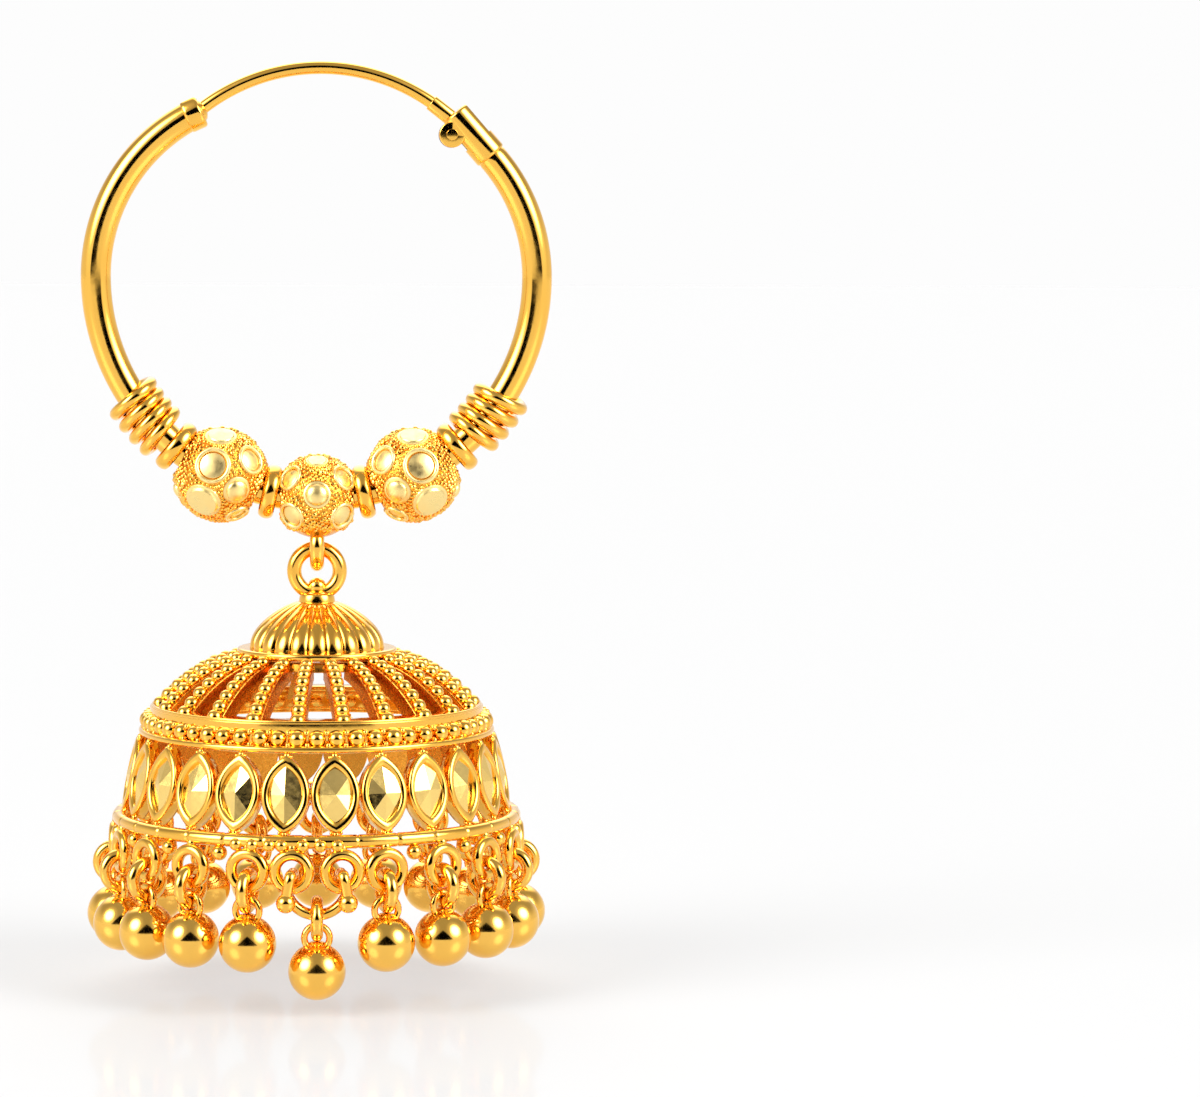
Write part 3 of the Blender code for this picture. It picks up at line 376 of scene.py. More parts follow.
# Ear wire. Springy 0.8 mm round gold wire, bent to one arc and thickened by a sleeve at the hinge,
# where a flat eye turns on the pin. It is burnished smooth, because it goes through the ear.
WIRE_DIAMETER = 0.80 * MM
WIRE_ARC_RADIUS = 11.87 * MM
WIRE_ARC_OFFSET = 0.30 * MM
SLEEVE_DIAMETER = 1.00 * MM
SLEEVE_LENGTH = 1.50 * MM
SLEEVE_EDGE = 0.06 * MM
SLEEVE_FLATNESS = 0.84             # its thickness as a share of its width
EYE_RADIUS = 0.62 * MM
EYE_EDGE = 0.08 * MM
SWING_GAP = 0.10 * MM
WIRE_REACH = 0.95                  # of the pin's setback, how far the wire goes on past the barrel's mouth
WEB_START = 0.80                   # of the eye's radius, where the web between the eye and the wire starts
WEB_THICKNESS = 0.95               # of the wire's

wire_radius = WIRE_DIAMETER / 2
wire_centre = Vector((WIRE_ARC_OFFSET, 0, -sqrt(WIRE_ARC_RADIUS ** 2 - WIRE_ARC_OFFSET ** 2)))


def wire_point(angle):
    """A point of the ear wire's arc, with the angle in degrees from straight up."""
    return wire_centre + WIRE_ARC_RADIUS * Vector((sin(radians(angle)), 0, cos(radians(angle))))


def wire_angle_at(point):
    """The angle of the arc's point nearest to a point."""
    return degrees(atan2(point.x - wire_centre.x, point.z - wire_centre.z))


def flat_ring(outside, inside, low, top, edge, steps=4):
    """The profile of a flat ring between two radii and two heights, with rounded edges."""
    return eased([(outside, low), (outside, top), (inside, top), (inside, low)], edge, steps)


mouth_angle = wire_angle_at(barrel_mouth)
inner_angle = mouth_angle + degrees(WIRE_REACH * PIN_SETBACK / WIRE_ARC_RADIUS)
sleeve_angle = mouth_angle - degrees(SLEEVE_LENGTH / WIRE_ARC_RADIUS)
latch_reach = CAP_LENGTH - CAP_BACK_WALL - SWING_GAP
latch_angle = wire_angle_at(cap_mouth) - degrees(latch_reach / WIRE_ARC_RADIUS)

work = bmesh.new()
add_wire(work, [wire_point(angle) for angle in spread(latch_angle, inner_angle, 110)], wire_radius)
sleeve_frame = frame_of((wire_point(sleeve_angle) + wire_point(mouth_angle)) / 2,
                        wire_point(mouth_angle) - wire_point(sleeve_angle))
add_turned(work, rod_outline(SLEEVE_DIAMETER / 2, SLEEVE_LENGTH, SLEEVE_EDGE), 36,
           sleeve_frame @ Matrix.Diagonal((1, SLEEVE_FLATNESS, 1, 1)))
eye_hole_radius = PIN_DIAMETER / 2 + PIN_GAP
add_turned(work, flat_ring(EYE_RADIUS, eye_hole_radius, -wire_radius, wire_radius, EYE_EDGE), 36, pin_frame)
web_start = pin_point + (wire_point(inner_angle) - pin_point).normalized() * EYE_RADIUS * WEB_START
add_wire(work, [web_start, wire_point(inner_angle)], wire_radius * WEB_THICKNESS)
piece("ear_wire_with_sleeve", work, buffed_gold, "ear_wire", "ear_wire")

# Coils. Round 0.8 mm wire wound close on the upper part of the tube, with its ends nipped and rounded.
# The left and the right coil lean opposite ways.
COIL_WIRE_DIAMETER = 0.78 * MM
COIL_RADIUS = 1.42 * MM
COIL_PITCH = 0.86 * MM
COIL_TURNS = 3.9
COIL_START = 10.386 * MM           # along the tube from the bottom

for side, node in ((-1, "coil_left"), (1, "coil_right")):
    work = bmesh.new()
    strand = []
    for turn in spread(0, COIL_TURNS, 190):
        around = 2 * pi * turn + pi / 2
        at = hoop_frame(side * (COIL_START + COIL_PITCH * turn))
        strand.append(at @ Vector((side * COIL_RADIUS * cos(around), COIL_RADIUS * sin(around), 0)))
    add_wire(work, strand, COIL_WIRE_DIAMETER / 2, sides=20)
    piece("wound_" + node, work, buffed_gold, "hoop", node)

# Spacer rings. Plain rings of oval gold wire, threaded on the tube on both sides of each side bead.
SPACER_WIDTH = 0.96 * MM
SPACER_THICKNESS = 0.66 * MM
SPACER_RADIUS = 1.36 * MM
INNER_RING_AT = 2.928 * MM
OUTER_RING_AT = 9.416 * MM

oval = [(SPACER_RADIUS + SPACER_THICKNESS / 2 * sin(t), SPACER_WIDTH / 2 * cos(t))
        for t in full_turn(24)]
for side, word in ((-1, "left"), (1, "right")):
    for distance, place in ((INNER_RING_AT, "inner"), (OUTER_RING_AT, "outer")):
        work = bmesh.new()
        add_turned(work, oval, 64, hoop_frame(side * distance))
        piece(f"oval_ring_{word}_{place}", work, buffed_gold, "hoop", f"spacer_ring_{word}_{place}")

# Side beads. Hollow gold balls with raised discs in round borders, and fine granules fused over all of
# the ground between them. The ground keeps the matt orange of the firing.
SIDE_BEAD_RADIUS = 2.82 * MM
SIDE_BEAD_AT = 6.172 * MM
GRANULE_STEP = 0.29 * MM           # the finest of the real ones are left out
GRANULE_GROUND = 0.80              # of a square step, the ground that each granule takes
GRANULE_SCATTER = 0.02             # of the bead's radius
BORDER_AT = 1.13                   # of a disc's radius, where the granules round it stand
BORDER_STEP = 0.90                 # of the step between the others
BORDER_SIZE = 0.40                 # their radius, as a share of the step
DISC_GROUND = 1.20                 # of a disc's radius, kept free of the other granules
BORE_GAP = 0.04 * MM
BORE_SHARE = 0.90                  # of the bead's half length, where the straight bore ends
LIP_MARGIN = 0.02

# Fused ground: fine grit left by the firing, so it shines dully and more orange than the polished gold
fired_gold = gold_finish("fired_granulated_gold", "#F0AC42", "#DC9630", 0.26, 0.10 * MM, 0.004 * MM)

# Disc: rubbed flat with a steel tool and only half mirror-like; its colour is painted paler than the cast
# gold, a painted reflection of bright light on the flat faces
disc_gold_painted_pale = gold_finish("disc_gold_with_painted_reflection", "#FFE6A0", "#FFDC88", 0.34, 0.50 * MM, 0.0010 * MM)

# Raised discs of the front half, in shares of the bead's radius. The back half has the same ones, turned
# half round, but for those near the bead's outline.
SIDE_BEAD_DISCS = (
    {"right": -0.15, "up": 0.26, "radius": 0.35, "kind": "mirror"},
    {"right": 0.68, "up": 0.36, "radius": 0.29, "kind": "mirror"},
    {"right": 0.38, "up": -0.30, "radius": 0.31, "kind": "dome"},
    {"right": -0.38, "up": -0.55, "radius": 0.39, "kind": "step"},
    {"right": 0.02, "up": 0.90, "radius": 0.33, "kind": "step"},
    {"right": -0.93, "up": -0.33, "radius": 0.20, "kind": "dome"},
    {"right": 0.37, "up": -0.83, "radius": 0.23, "kind": "mirror"},
)
OUTLINE_DEPTH = 0.30               # discs less far forward than this are near the outline
DISC_SINK = 0.10                   # how deep a disc's edge is sunk in the bead
DISC_SIDE = (1, 0.1, 0.2)

# The forms of the discs' tops, in shares of the disc's radius
DOME_WIDTH = 0.80
DOME_RISE = 0.42
MIRROR_WIDTH = 0.80
MIRROR_RISE = 0.12                 # of its slightly domed face


def disc_places(table, mirror):
    """The outward direction, size and kind of every raised disc on a bead."""
    for row in table:
        right = mirror * row["right"]
        depth = sqrt(max(0.0, 1 - right ** 2 - row["up"] ** 2))
        front = Vector((right, -depth, row["up"])).normalized()
        yield front, row["radius"], row["kind"]
        if depth > OUTLINE_DEPTH:
            yield Vector((-front.x, -front.y, front.z)), row["radius"], row["kind"]


def disc_profile(kind, share):
    """A raised disc's profile in shares of the bead's radius, with its height from the bead's centre."""
    def ground(radius):
        return sqrt(1 - radius ** 2)

    low = ground(share) - DISC_SINK
    if kind == "dome":
        top = ground(share * DOME_WIDTH) + 0.02
        bulge = [(share * DOME_WIDTH * cos(radians(t)), top + share * DOME_RISE * sin(radians(t)))
                 for t in range(0, 90, 10)]
        return [(0, low), (share, low), (share, ground(share) + 0.015), (share * 0.86, top)] + bulge + [
            (0, top + share * DOME_RISE)]
    if kind == "step":
        edge = ground(share) + 0.03
        return [(0, low), (share * 1.08, low), (share * 1.08, edge - 0.03), (share * 1.04, edge),
                (share * 0.90, edge + 0.01), (share * 0.86, 0.99), (share * 0.82, 1.01), (0, 1.025)]
    groove = ground(share) - 0.01
    border = [(share * 1.02 + 0.05 * cos(radians(t)), ground(share) + 0.03 + 0.05 * sin(radians(t)))
              for t in range(-30, 211, 30)]
    face = [(share * MIRROR_WIDTH * r, 0.985 + share * MIRROR_RISE * (1 - r ** 2))
            for r in (1.0, 0.95, 0.8, 0.6, 0.4, 0.2, 0)]
    return [(0, low), (share * 1.06, low)] + border + [(share * 0.87, groove), (share * 0.83, 0.965)] + face


def add_granule(work, foot, outward, radius, sides=7):
    """A small ball fused to the ground up to a little below its waist."""
    place = frame_of(foot, outward, side=(0.31, 0.52, 0.79))
    top = work.verts.new(place @ Vector((0, 0, radius)))
    rings = []
    for latitude in (62, 28, -20):
        size, height = radius * cos(radians(latitude)), radius * sin(radians(latitude))
        rings.append([work.verts.new(place @ Vector((size * cos(t), size * sin(t), height)))
                      for t in full_turn(sides)])
    for i in range(sides):
        work.faces.new((top, rings[0][i - 1], rings[0][i]))
        for upper, lower in zip(rings, rings[1:]):
            work.faces.new((upper[i - 1], lower[i - 1], lower[i], upper[i]))
    work.faces.new(rings[-1])


def granulated_bead(radius, table, mirror, along, seed, lowest=-1.0):
    """The bored ball, the granules on it and its discs, as three meshes about the origin."""
    dice = random.Random(seed)
    ball, granules, discs = bmesh.new(), bmesh.new(), bmesh.new()
    bore = (tube_radius + BORE_GAP + (radius ** 2 - tube_radius ** 2) / (2 * HOOP_RADIUS)) / radius
    lip = asin(bore)
    near_bore = cos(lip) - LIP_MARGIN
    outer = [(radius * sin(t), radius * cos(t)) for t in spread(lip, pi - lip, 40)]
    straight = radius * cos(lip) * BORE_SHARE
    inner = [(radius * bore, -straight), (radius * bore, straight)]
    add_turned(ball, outer + inner, 72, frame_of((0, 0, 0), along))
    places = list(disc_places(table, mirror))
    for outward, share, kind in places:
        profile = [(r * radius, z * radius) for r, z in disc_profile(kind, share)]
        disc_frame = frame_of((0, 0, 0), outward, side=DISC_SIDE)
        add_turned(discs, profile, 48, disc_frame)
        edge = share * BORDER_AT
        for t in full_turn(int(2 * pi * edge * radius / (GRANULE_STEP * BORDER_STEP))):
            foot = disc_frame @ (radius * Vector((edge * cos(t), edge * sin(t), sqrt(1 - edge ** 2))))
            if abs(foot.normalized().dot(along)) < near_bore:
                add_granule(granules, foot, foot, GRANULE_STEP * BORDER_SIZE)
    total = int(4 * pi * radius ** 2 / (GRANULE_STEP ** 2 * GRANULE_GROUND))
    for i in range(total):
        height = 1 - 2 * (i + 0.5) / total
        turn = i * pi * (3 - sqrt(5))
        outward = Vector((sqrt(1 - height ** 2) * cos(turn), sqrt(1 - height ** 2) * sin(turn), height))
        outward += Vector((dice.uniform(-1, 1), dice.uniform(-1, 1), dice.uniform(-1, 1))) * GRANULE_SCATTER
        outward.normalize()
        clear_of_discs = all(outward.dot(disc) < cos(asin(share * DISC_GROUND)) for disc, share, _ in places)
        if clear_of_discs and outward.z > lowest and abs(outward.dot(along)) < near_bore:
            add_granule(granules, outward * radius, outward, GRANULE_STEP * dice.uniform(0.32, 0.72))
    return ball, granules, discs


def set_bead(parts, centre, body, node):
    """Move a bead's ball, granules, discs and, where it has one, bail to its centre and make them pieces."""
    finishes = (("ball", fired_gold), ("granules", buffed_gold), ("discs", disc_gold_painted_pale), ("bail", buffed_gold))
    for part, (word, finish) in zip(parts, finishes):
        bmesh.ops.translate(part, vec=centre, verts=part.verts)
        piece(f"{node}_{word}", part, finish, body, node, slot="relief_gold")


for side, node in ((-1, "side_bead_left"), (1, "side_bead_right")):
    at = hoop_frame(side * SIDE_BEAD_AT)
    along = at.to_3x3() @ Vector((0, 0, 1))
    bead = granulated_bead(SIDE_BEAD_RADIUS, SIDE_BEAD_DISCS, -side, along, 5)
    set_bead(bead, at.translation, "hoop", node)

# Centre bead. A smaller bead of the same make, with the bail that carries the bell soldered under it.
CENTRE_BEAD_RADIUS = 2.53 * MM
BARE_BELOW = -0.78                 # the bead is plain round the bail, so that the bell's ring can swing
BAIL_WIRE_DIAMETER = 0.90 * MM
BAIL_RADIUS = 1.10 * MM
CENTRE_BEAD_DISCS = (
    {"right": 0.00, "up": 0.12, "radius": 0.33, "kind": "dome"},
    {"right": -0.66, "up": 0.50, "radius": 0.29, "kind": "mirror"},
    {"right": 0.66, "up": 0.50, "radius": 0.29, "kind": "mirror"},
    {"right": -0.62, "up": -0.42, "radius": 0.31, "kind": "mirror"},
    {"right": 0.62, "up": -0.42, "radius": 0.31, "kind": "mirror"},
    {"right": 0.00, "up": 0.92, "radius": 0.26, "kind": "step"},
)

bead_centre = hoop_frame(0).translation
bail_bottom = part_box("centre_bead")[0].z
bail_centre = Vector((0, 0, bail_bottom + BAIL_WIRE_DIAMETER / 2 + BAIL_RADIUS))


def circle(centre, first, second, radius, steps):
    """Points round a circle that starts on the first axis and turns toward the second."""
    return [Vector(centre) + radius * (cos(t) * Vector(first) + sin(t) * Vector(second))
            for t in full_turn(steps)]


def add_ring(work, centre, first, second, radius, wire_diameter, steps=48, sides=20):
    """A ring of round wire in the plane of two axes."""
    add_wire(work, circle(centre, first, second, radius, steps), wire_diameter / 2, sides, closed=True)


bead = granulated_bead(CENTRE_BEAD_RADIUS, CENTRE_BEAD_DISCS, 1, Vector((1, 0, 0)), 8, BARE_BELOW)
bail = bmesh.new()
add_ring(bail, bail_centre - bead_centre, (0, 1, 0), (0, 0, 1), BAIL_RADIUS, BAIL_WIRE_DIAMETER)
set_bead([*bead, bail], bead_centre, "centre_bead", "centre_bead")

# Bell cap. Cast in one piece: a dome of rounded flutes on a plain flange, a short collar, a hanging ring
# and a small ball soldered where the ring stands on the collar. It is hollow from below.
HANGING_RING_RADIUS = 1.41 * MM
HANGING_WIRE_DIAMETER = 0.90 * MM
FINIAL_DIAMETER = 1.14 * MM
FINIAL_RISE = 0.42 * MM            # the ball's centre above the ring's lowest point
COLLAR_RADIUS = 1.10 * MM
COLLAR_HEIGHT = 0.50 * MM
COLLAR_CROWN = 0.22 * MM
COLLAR_EDGE = 0.14 * MM
CAP_DOME_HEIGHT = 2.85 * MM
CAP_DOME_RADIUS = 4.20 * MM
CAP_DOME_FULLNESS = 0.72           # below 1, the dome bulges more than a round one
CAP_WALL = 0.60 * MM
CAP_INSIDE_LEAST = 0.30 * MM
FLANGE_RADIUS = 4.96 * MM
FLANGE_THICKNESS = 0.45 * MM
FLANGE_EDGE = 0.19 * MM
FLUTE_COUNT = 22
FLUTE_DEPTH = 0.30 * MM
FLUTE_ROUNDNESS = 0.97             # nearly 1, so that the flutes meet in sharp furrows
FLUTE_STEPS = 12                   # faces across each flute

cap_low, cap_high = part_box("bell_cap")
ring_centre = Vector((0, 0, cap_high.z - HANGING_WIRE_DIAMETER / 2 - HANGING_RING_RADIUS))
finial_z = ring_centre.z - HANGING_RING_RADIUS + FINIAL_RISE
flange_z = cap_low.z + FLANGE_THICKNESS
cap_dome_z = flange_z + CAP_DOME_HEIGHT
collar_z = cap_dome_z + COLLAR_HEIGHT

# Cast gold, polished by hand in the flutes: still bright, with the soft ripple that a cast skin keeps
cast_gold = gold_finish("polished_cast_gold", "#FFC75C", "#FFBC48", 0.11, 0.40 * MM, 0.0020 * MM)


def dome_radius(share):
    """The cap dome's radius, by the share of its height down from the collar."""
    return COLLAR_RADIUS + (CAP_DOME_RADIUS - COLLAR_RADIUS) * sin(share * pi / 2) ** CAP_DOME_FULLNESS


def add_fluted_dome(work):
    """The outer skin of the dome, its flutes growing from the collar, closed by its plain inner skin."""
    steps = FLUTE_COUNT * FLUTE_STEPS
    loops = []
    for share in [t ** 1.6 for t in spread(0, 1, 28)]:
        height = cap_dome_z - CAP_DOME_HEIGHT * share
        loop = []
        for i in range(steps):
            across = 2 * ((i / FLUTE_STEPS + 0.5) % 1) - 1
            dip = (1 - sqrt(1 - FLUTE_ROUNDNESS * across ** 2)) * FLUTE_DEPTH * min(1, share * 6) ** 0.5
            radius = dome_radius(share) - dip * min(1.0, 0.35 + dome_radius(share) / CAP_DOME_RADIUS)
            turn = 2 * pi * i / steps - pi / 2
            loop.append(Vector((radius * cos(turn), radius * sin(turn), height)))
        loops.append(loop)
    for share in (1, 0.7, 0.4, 0.2):
        radius = max(dome_radius(share) - CAP_WALL, CAP_INSIDE_LEAST)
        height = cap_dome_z - CAP_DOME_HEIGHT * share - (CAP_WALL if share < 1 else FLANGE_THICKNESS)
        loops.append(circle((0, 0, height), (0, -1, 0), (1, 0, 0), radius, steps))
    add_skin(work, loops, closed=False)


work = bmesh.new()
add_fluted_dome(work)
flange = flat_ring(FLANGE_RADIUS, CAP_DOME_RADIUS - CAP_WALL, cap_low.z, flange_z, FLANGE_EDGE, 6)
add_turned(work, flange, 120)
collar_top = collar_z + COLLAR_CROWN
collar = eased([(0, collar_z - 0.9 * MM), (COLLAR_RADIUS * 1.04, cap_dome_z - 0.15 * MM),
                (COLLAR_RADIUS, cap_dome_z + COLLAR_HEIGHT * 0.45), (COLLAR_RADIUS * 0.92, collar_z),
                (COLLAR_RADIUS * 0.45, collar_top), (0, collar_top)], COLLAR_EDGE)
add_turned(work, collar, 48)
add_ring(work, ring_centre, (1, 0, 0), (0, 0, 1), HANGING_RING_RADIUS, HANGING_WIRE_DIAMETER, 72, 28)
add_ball(work, FINIAL_DIAMETER / 2, Matrix.Translation((0, 0, finial_z)), 40)
piece("fluted_bell_cap", work, cast_gold, "bell", "bell_cap", crease=50)

# Dome ribs. Flat gold strips on edge, bent down the dome between a collar under the flange and a flat foot
# plate. Each carries a row of granules on its outer edge, growing toward the foot.
RIB_COUNT = 22
RIB_WIDTH = 0.92 * MM
RIB_TOP_SHARE = 0.78               # of that width, at the top
RIB_DEPTH = 1.00 * MM
RIB_EDGE = 0.09 * MM
RIBS_HEIGHT = 3.20 * MM
RIBS_TOP_RADIUS = 4.55 * MM
RIBS_FOOT_RADIUS = 9.75 * MM
RIBS_BULGE = 0.55
FIRST_RIB_ANGLE = -6.9             # degrees from the front
RIB_GRANULES = 8
RIB_GRANULE_RADIUS = 0.41 * MM
RIB_GRANULE_GROWTH = 0.07 * MM     # from the highest to the lowest
RIB_GRANULE_STEP = 1.78            # of their radius
FOOT_PLATE_THICKNESS = 0.32 * MM
FOOT_PLATE_REACH = 0.50 * MM       # beyond the ribs
FOOT_PLATE_EDGE = 0.10 * MM

ribs_top_z = cap_low.z - SEAT_GAP
ribs_foot_z = ribs_top_z - RIBS_HEIGHT

# The inside of the bell isn't polished: it keeps the satin skin of the sheet. Its colour is painted darker
# and browner than the polished gold, painted shade for the bell's inside, also used on the ribs' strips and
# the petals' backs; the tone drifts at random between the two browns
satin_gold_with_painted_shade = gold_finish("satin_sheet_gold_painted_shade", "#E9A542", "#CF8526", 0.26, 0.20 * MM, 0.0008 * MM)


def rib_edge(share):
    """The radius and height of the ribs' outer edge, by the share of the way down."""
    top, foot = Vector((RIBS_TOP_RADIUS, ribs_top_z)), Vector((RIBS_FOOT_RADIUS, ribs_foot_z))
    middle = Vector((RIBS_TOP_RADIUS + (RIBS_FOOT_RADIUS - RIBS_TOP_RADIUS) * RIBS_BULGE,
                     ribs_top_z - RIBS_HEIGHT * (1 - RIBS_BULGE) * 0.3))
    return bend(top, middle, foot, share)


def front_angle(angle):
    """The turn about Z that takes a piece made on +X to an angle from the front, plus toward +X."""
    return Matrix.Rotation(radians(angle - 90), 4, "Z")


def add_rib(work, place):
    """One strip on edge, with its outer corners softened."""
    loops = []
    for share in spread(0.02, 0.97, 20):
        here, ahead = rib_edge(share), rib_edge(share + 0.01)
        slope = (ahead - here).normalized()
        outward = Vector((-slope.y, 0, slope.x))
        width = RIB_WIDTH * (RIB_TOP_SHARE + (1 - RIB_TOP_SHARE) * share)
        section = flat_ring(RIB_DEPTH, 0, -width / 2, width / 2, RIB_EDGE, 3)
        loops.append([place @ (Vector((here.x, y, here.y)) + outward * (depth - RIB_DEPTH))
                      for depth, y in section])
    add_skin(work, loops, closed=False)


def add_rib_granules(work, place):
    """The granules along one rib's outer edge."""
    share = 0.10
    for i in range(RIB_GRANULES):
        growth = i / (RIB_GRANULES - 1)
        radius = RIB_GRANULE_RADIUS + RIB_GRANULE_GROWTH * growth
        here = rib_edge(min(share, 0.97))
        seat = Matrix.Translation((here.x + radius * 0.15, 0, here.y + radius * 0.2))
        add_ball(work, radius, place @ seat, 20)
        speed = (rib_edge(share + 0.01) - rib_edge(share)).length / 0.01
        share += radius * RIB_GRANULE_STEP / speed


strips, granules = bmesh.new(), bmesh.new()
for i in range(RIB_COUNT):
    place = front_angle(FIRST_RIB_ANGLE + 360 * i / RIB_COUNT)
    add_rib(strips, place)
    add_rib_granules(granules, place)
ribs_collar = eased([(RIBS_TOP_RADIUS + 0.10 * MM, ribs_top_z),
                     (RIBS_TOP_RADIUS + 0.30 * MM, ribs_top_z - RIB_DEPTH * 0.55),
                     (RIBS_TOP_RADIUS - 0.55 * MM, ribs_top_z - RIB_DEPTH * 0.62),
                     (RIBS_TOP_RADIUS - 0.80 * MM, ribs_top_z)], 0.08 * MM)
add_turned(strips, ribs_collar, 96)
plate_top = ribs_foot_z + FOOT_PLATE_THICKNESS
plate_edge, plate_inside = RIBS_FOOT_RADIUS + FOOT_PLATE_REACH, RIBS_FOOT_RADIUS - RIB_DEPTH
add_turned(granules, flat_ring(plate_edge, plate_inside, ribs_foot_z, plate_top, FOOT_PLATE_EDGE), 160)
piece("ribs_of_the_dome", strips, satin_gold_with_painted_shade, "bell", "dome_ribs")
piece("granules_and_foot_plate", granules, buffed_gold, "bell", "dome_ribs")

# Granule band. Large granules side by side under the foot plate, on a plain wire, with finer ones pushed
# into the gaps. A thin strip stands behind them, and a ledge carries the wire from behind.
BAND_RADIUS = 11.00 * MM
GRANULE_DIAMETER = 1.10 * MM
GRANULE_COUNT = 56
FILL_GRANULE_DIAMETER = 0.34 * MM
STRIP_SETBACK = 0.10 * MM          # from the middles of the large granules
STRIP_THICKNESS = 0.30 * MM
STRIP_EDGE = 0.05 * MM
BAND_WIRE_DIAMETER = 0.46 * MM
BAND_WIRE_OVERLAP = 0.18 * MM
BAND_WIRE_BREADTH = 0.62           # of its diameter, to each side: it is pressed a little flat
LEDGE_SETBACK = 0.20 * MM
LEDGE_DEPTH = 0.70 * MM
LEDGE_EDGE = 0.06 * MM

granule_radius = GRANULE_DIAMETER / 2
granule_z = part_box("granule_band")[1].z - granule_radius
band_wire_z = granule_z - granule_radius + BAND_WIRE_OVERLAP - BAND_WIRE_DIAMETER / 2
granule_circle = BAND_RADIUS - granule_radius

work = bmesh.new()
dice = random.Random(11)
for i in range(GRANULE_COUNT):
    turn = 360 * i / GRANULE_COUNT
    size = granule_radius * dice.uniform(0.90, 1.05)
    seat = front_angle(turn + dice.uniform(-0.4, 0.4))
    add_ball(work, size, seat @ Matrix.Translation((granule_circle, 0, granule_z)))
    for height, reach in ((-0.62, 0.55), (0.70, 0.30)):
        gap = front_angle(turn + 180 / GRANULE_COUNT + dice.uniform(-0.5, 0.5))
        add_ball(work, FILL_GRANULE_DIAMETER / 2, gap @ Matrix.Translation(
            (granule_circle + granule_radius * reach, 0, granule_z + granule_radius * height)), 12)
strip_front = granule_circle - STRIP_SETBACK
strip_top, strip_low = ribs_foot_z + FOOT_PLATE_THICKNESS / 2, granule_z - granule_radius
strip = flat_ring(strip_front, strip_front - STRIP_THICKNESS, strip_low, strip_top, STRIP_EDGE)
add_turned(work, strip, 120)
band_wire = [(BAND_RADIUS - BAND_WIRE_DIAMETER / 2 + BAND_WIRE_DIAMETER * BAND_WIRE_BREADTH * cos(t),
              band_wire_z + BAND_WIRE_DIAMETER / 2 * sin(t)) for t in full_turn(20)]
add_turned(work, band_wire, 160)
ledge_front, ledge_half = BAND_RADIUS - LEDGE_SETBACK, BAND_WIRE_DIAMETER * 0.3
add_turned(work, flat_ring(ledge_front, ledge_front - LEDGE_DEPTH, band_wire_z - ledge_half,
                           band_wire_z + ledge_half, LEDGE_EDGE), 120)
piece("band_of_granules", work, buffed_gold, "bell", "granule_band", slot="bright_cut_gold")

# Petals. Marquise plates cut with eight bright facets that meet at a raised middle, each set in a rounded
# bezel. Small granules solder them to each other at mid-height and to the wires at their tips.
PETAL_COUNT = 24
PETAL_WIDTH = 2.92 * MM
PETAL_HEIGHT = 4.85 * MM           # the tips are soldered onto the wires above and below
PETAL_THICKNESS = 0.85 * MM
PETAL_BEZEL = 0.44 * MM
BEZEL_CROWN = 0.16 * MM
BEZEL_EDGE = 0.06 * MM
BEZEL_DEPTH = 0.34 * MM            # of its inner wall, which goes on behind the facets' rim
FACET_COUNT = 8
FACET_RIM_DEPTH = 0.20 * MM        # where the facets meet that wall
TIP_INSET = 3.2                    # the tips move in this much, over two, for each step of the sides
BACK_INSET = 0.04 * MM
BACK_THICKNESS = 0.06 * MM
PETAL_TOP_RADIUS = 11.20 * MM
PETAL_FOOT_RADIUS = 12.20 * MM
PETAL_DOME = 0.22 * MM
FIRST_PETAL_ANGLE = 5.5
OUTLINE_POINTS = 16                # along each side of the marquise

# Granules that solder the petals: between two of them, height and radius in millimetres; and at their tips,
# across in millimetres, up in shares of the height, and radius in millimetres
SIDE_JOINTS = ((0, 0.24), (-0.26, 0.14), (0.24, 0.13))
TIP_JOINTS = ((0, 0.495, 0.20), (-0.28, 0.475, 0.13), (0.26, 0.48, 0.12),
              (0, -0.495, 0.20), (-0.27, -0.48, 0.13), (0.29, -0.475, 0.12))

# Bright-cut gold: each facet is sheared by a polished graver and left as cut, so it is flat; its colour is
# painted paler than the other gold, a painted reflection that makes the facets look very bright
bright_cut_gold = gold_finish("bright_cut_gold", "#FFDE8A", "#FFD474", 0.19, 0.30 * MM, 0.0008 * MM)

petal_low, petal_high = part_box("petal_band")
petal_middle_z = (petal_low.z + petal_high.z) / 2
petal_middle_radius = (PETAL_TOP_RADIUS + PETAL_FOOT_RADIUS) / 2


def marquise(width, height, depth):
    """A marquise outline in (depth, across, up), from its top tip down one side and back up the other."""
    half_w, half_h = width / 2, height / 2
    bow = (half_h ** 2 + half_w ** 2) / (2 * half_w)
    reach = asin(half_h / bow)
    side = [(half_w - bow + bow * cos(t), bow * sin(t)) for t in spread(reach, -reach, OUTLINE_POINTS)[:-1]]
    return [Vector((depth, y, z)) for y, z in side + [(-y, -z) for y, z in side]]


def bezel_loops():
    """The outlines across a bezel, from its back edge over its rounded front to the seat of the facets."""
    crown = [(PETAL_BEZEL / 2 * (1 - cos(radians(t))), -BEZEL_CROWN + BEZEL_CROWN * sin(radians(t)))
             for t in range(0, 181, 20)]
    steps = [(BEZEL_EDGE, -PETAL_THICKNESS), (0, -PETAL_THICKNESS + BEZEL_EDGE)] + crown + [
        (PETAL_BEZEL, -BEZEL_DEPTH)]
    return [marquise(PETAL_WIDTH - 2 * inset, PETAL_HEIGHT - TIP_INSET * inset, depth)
            for inset, depth in steps]


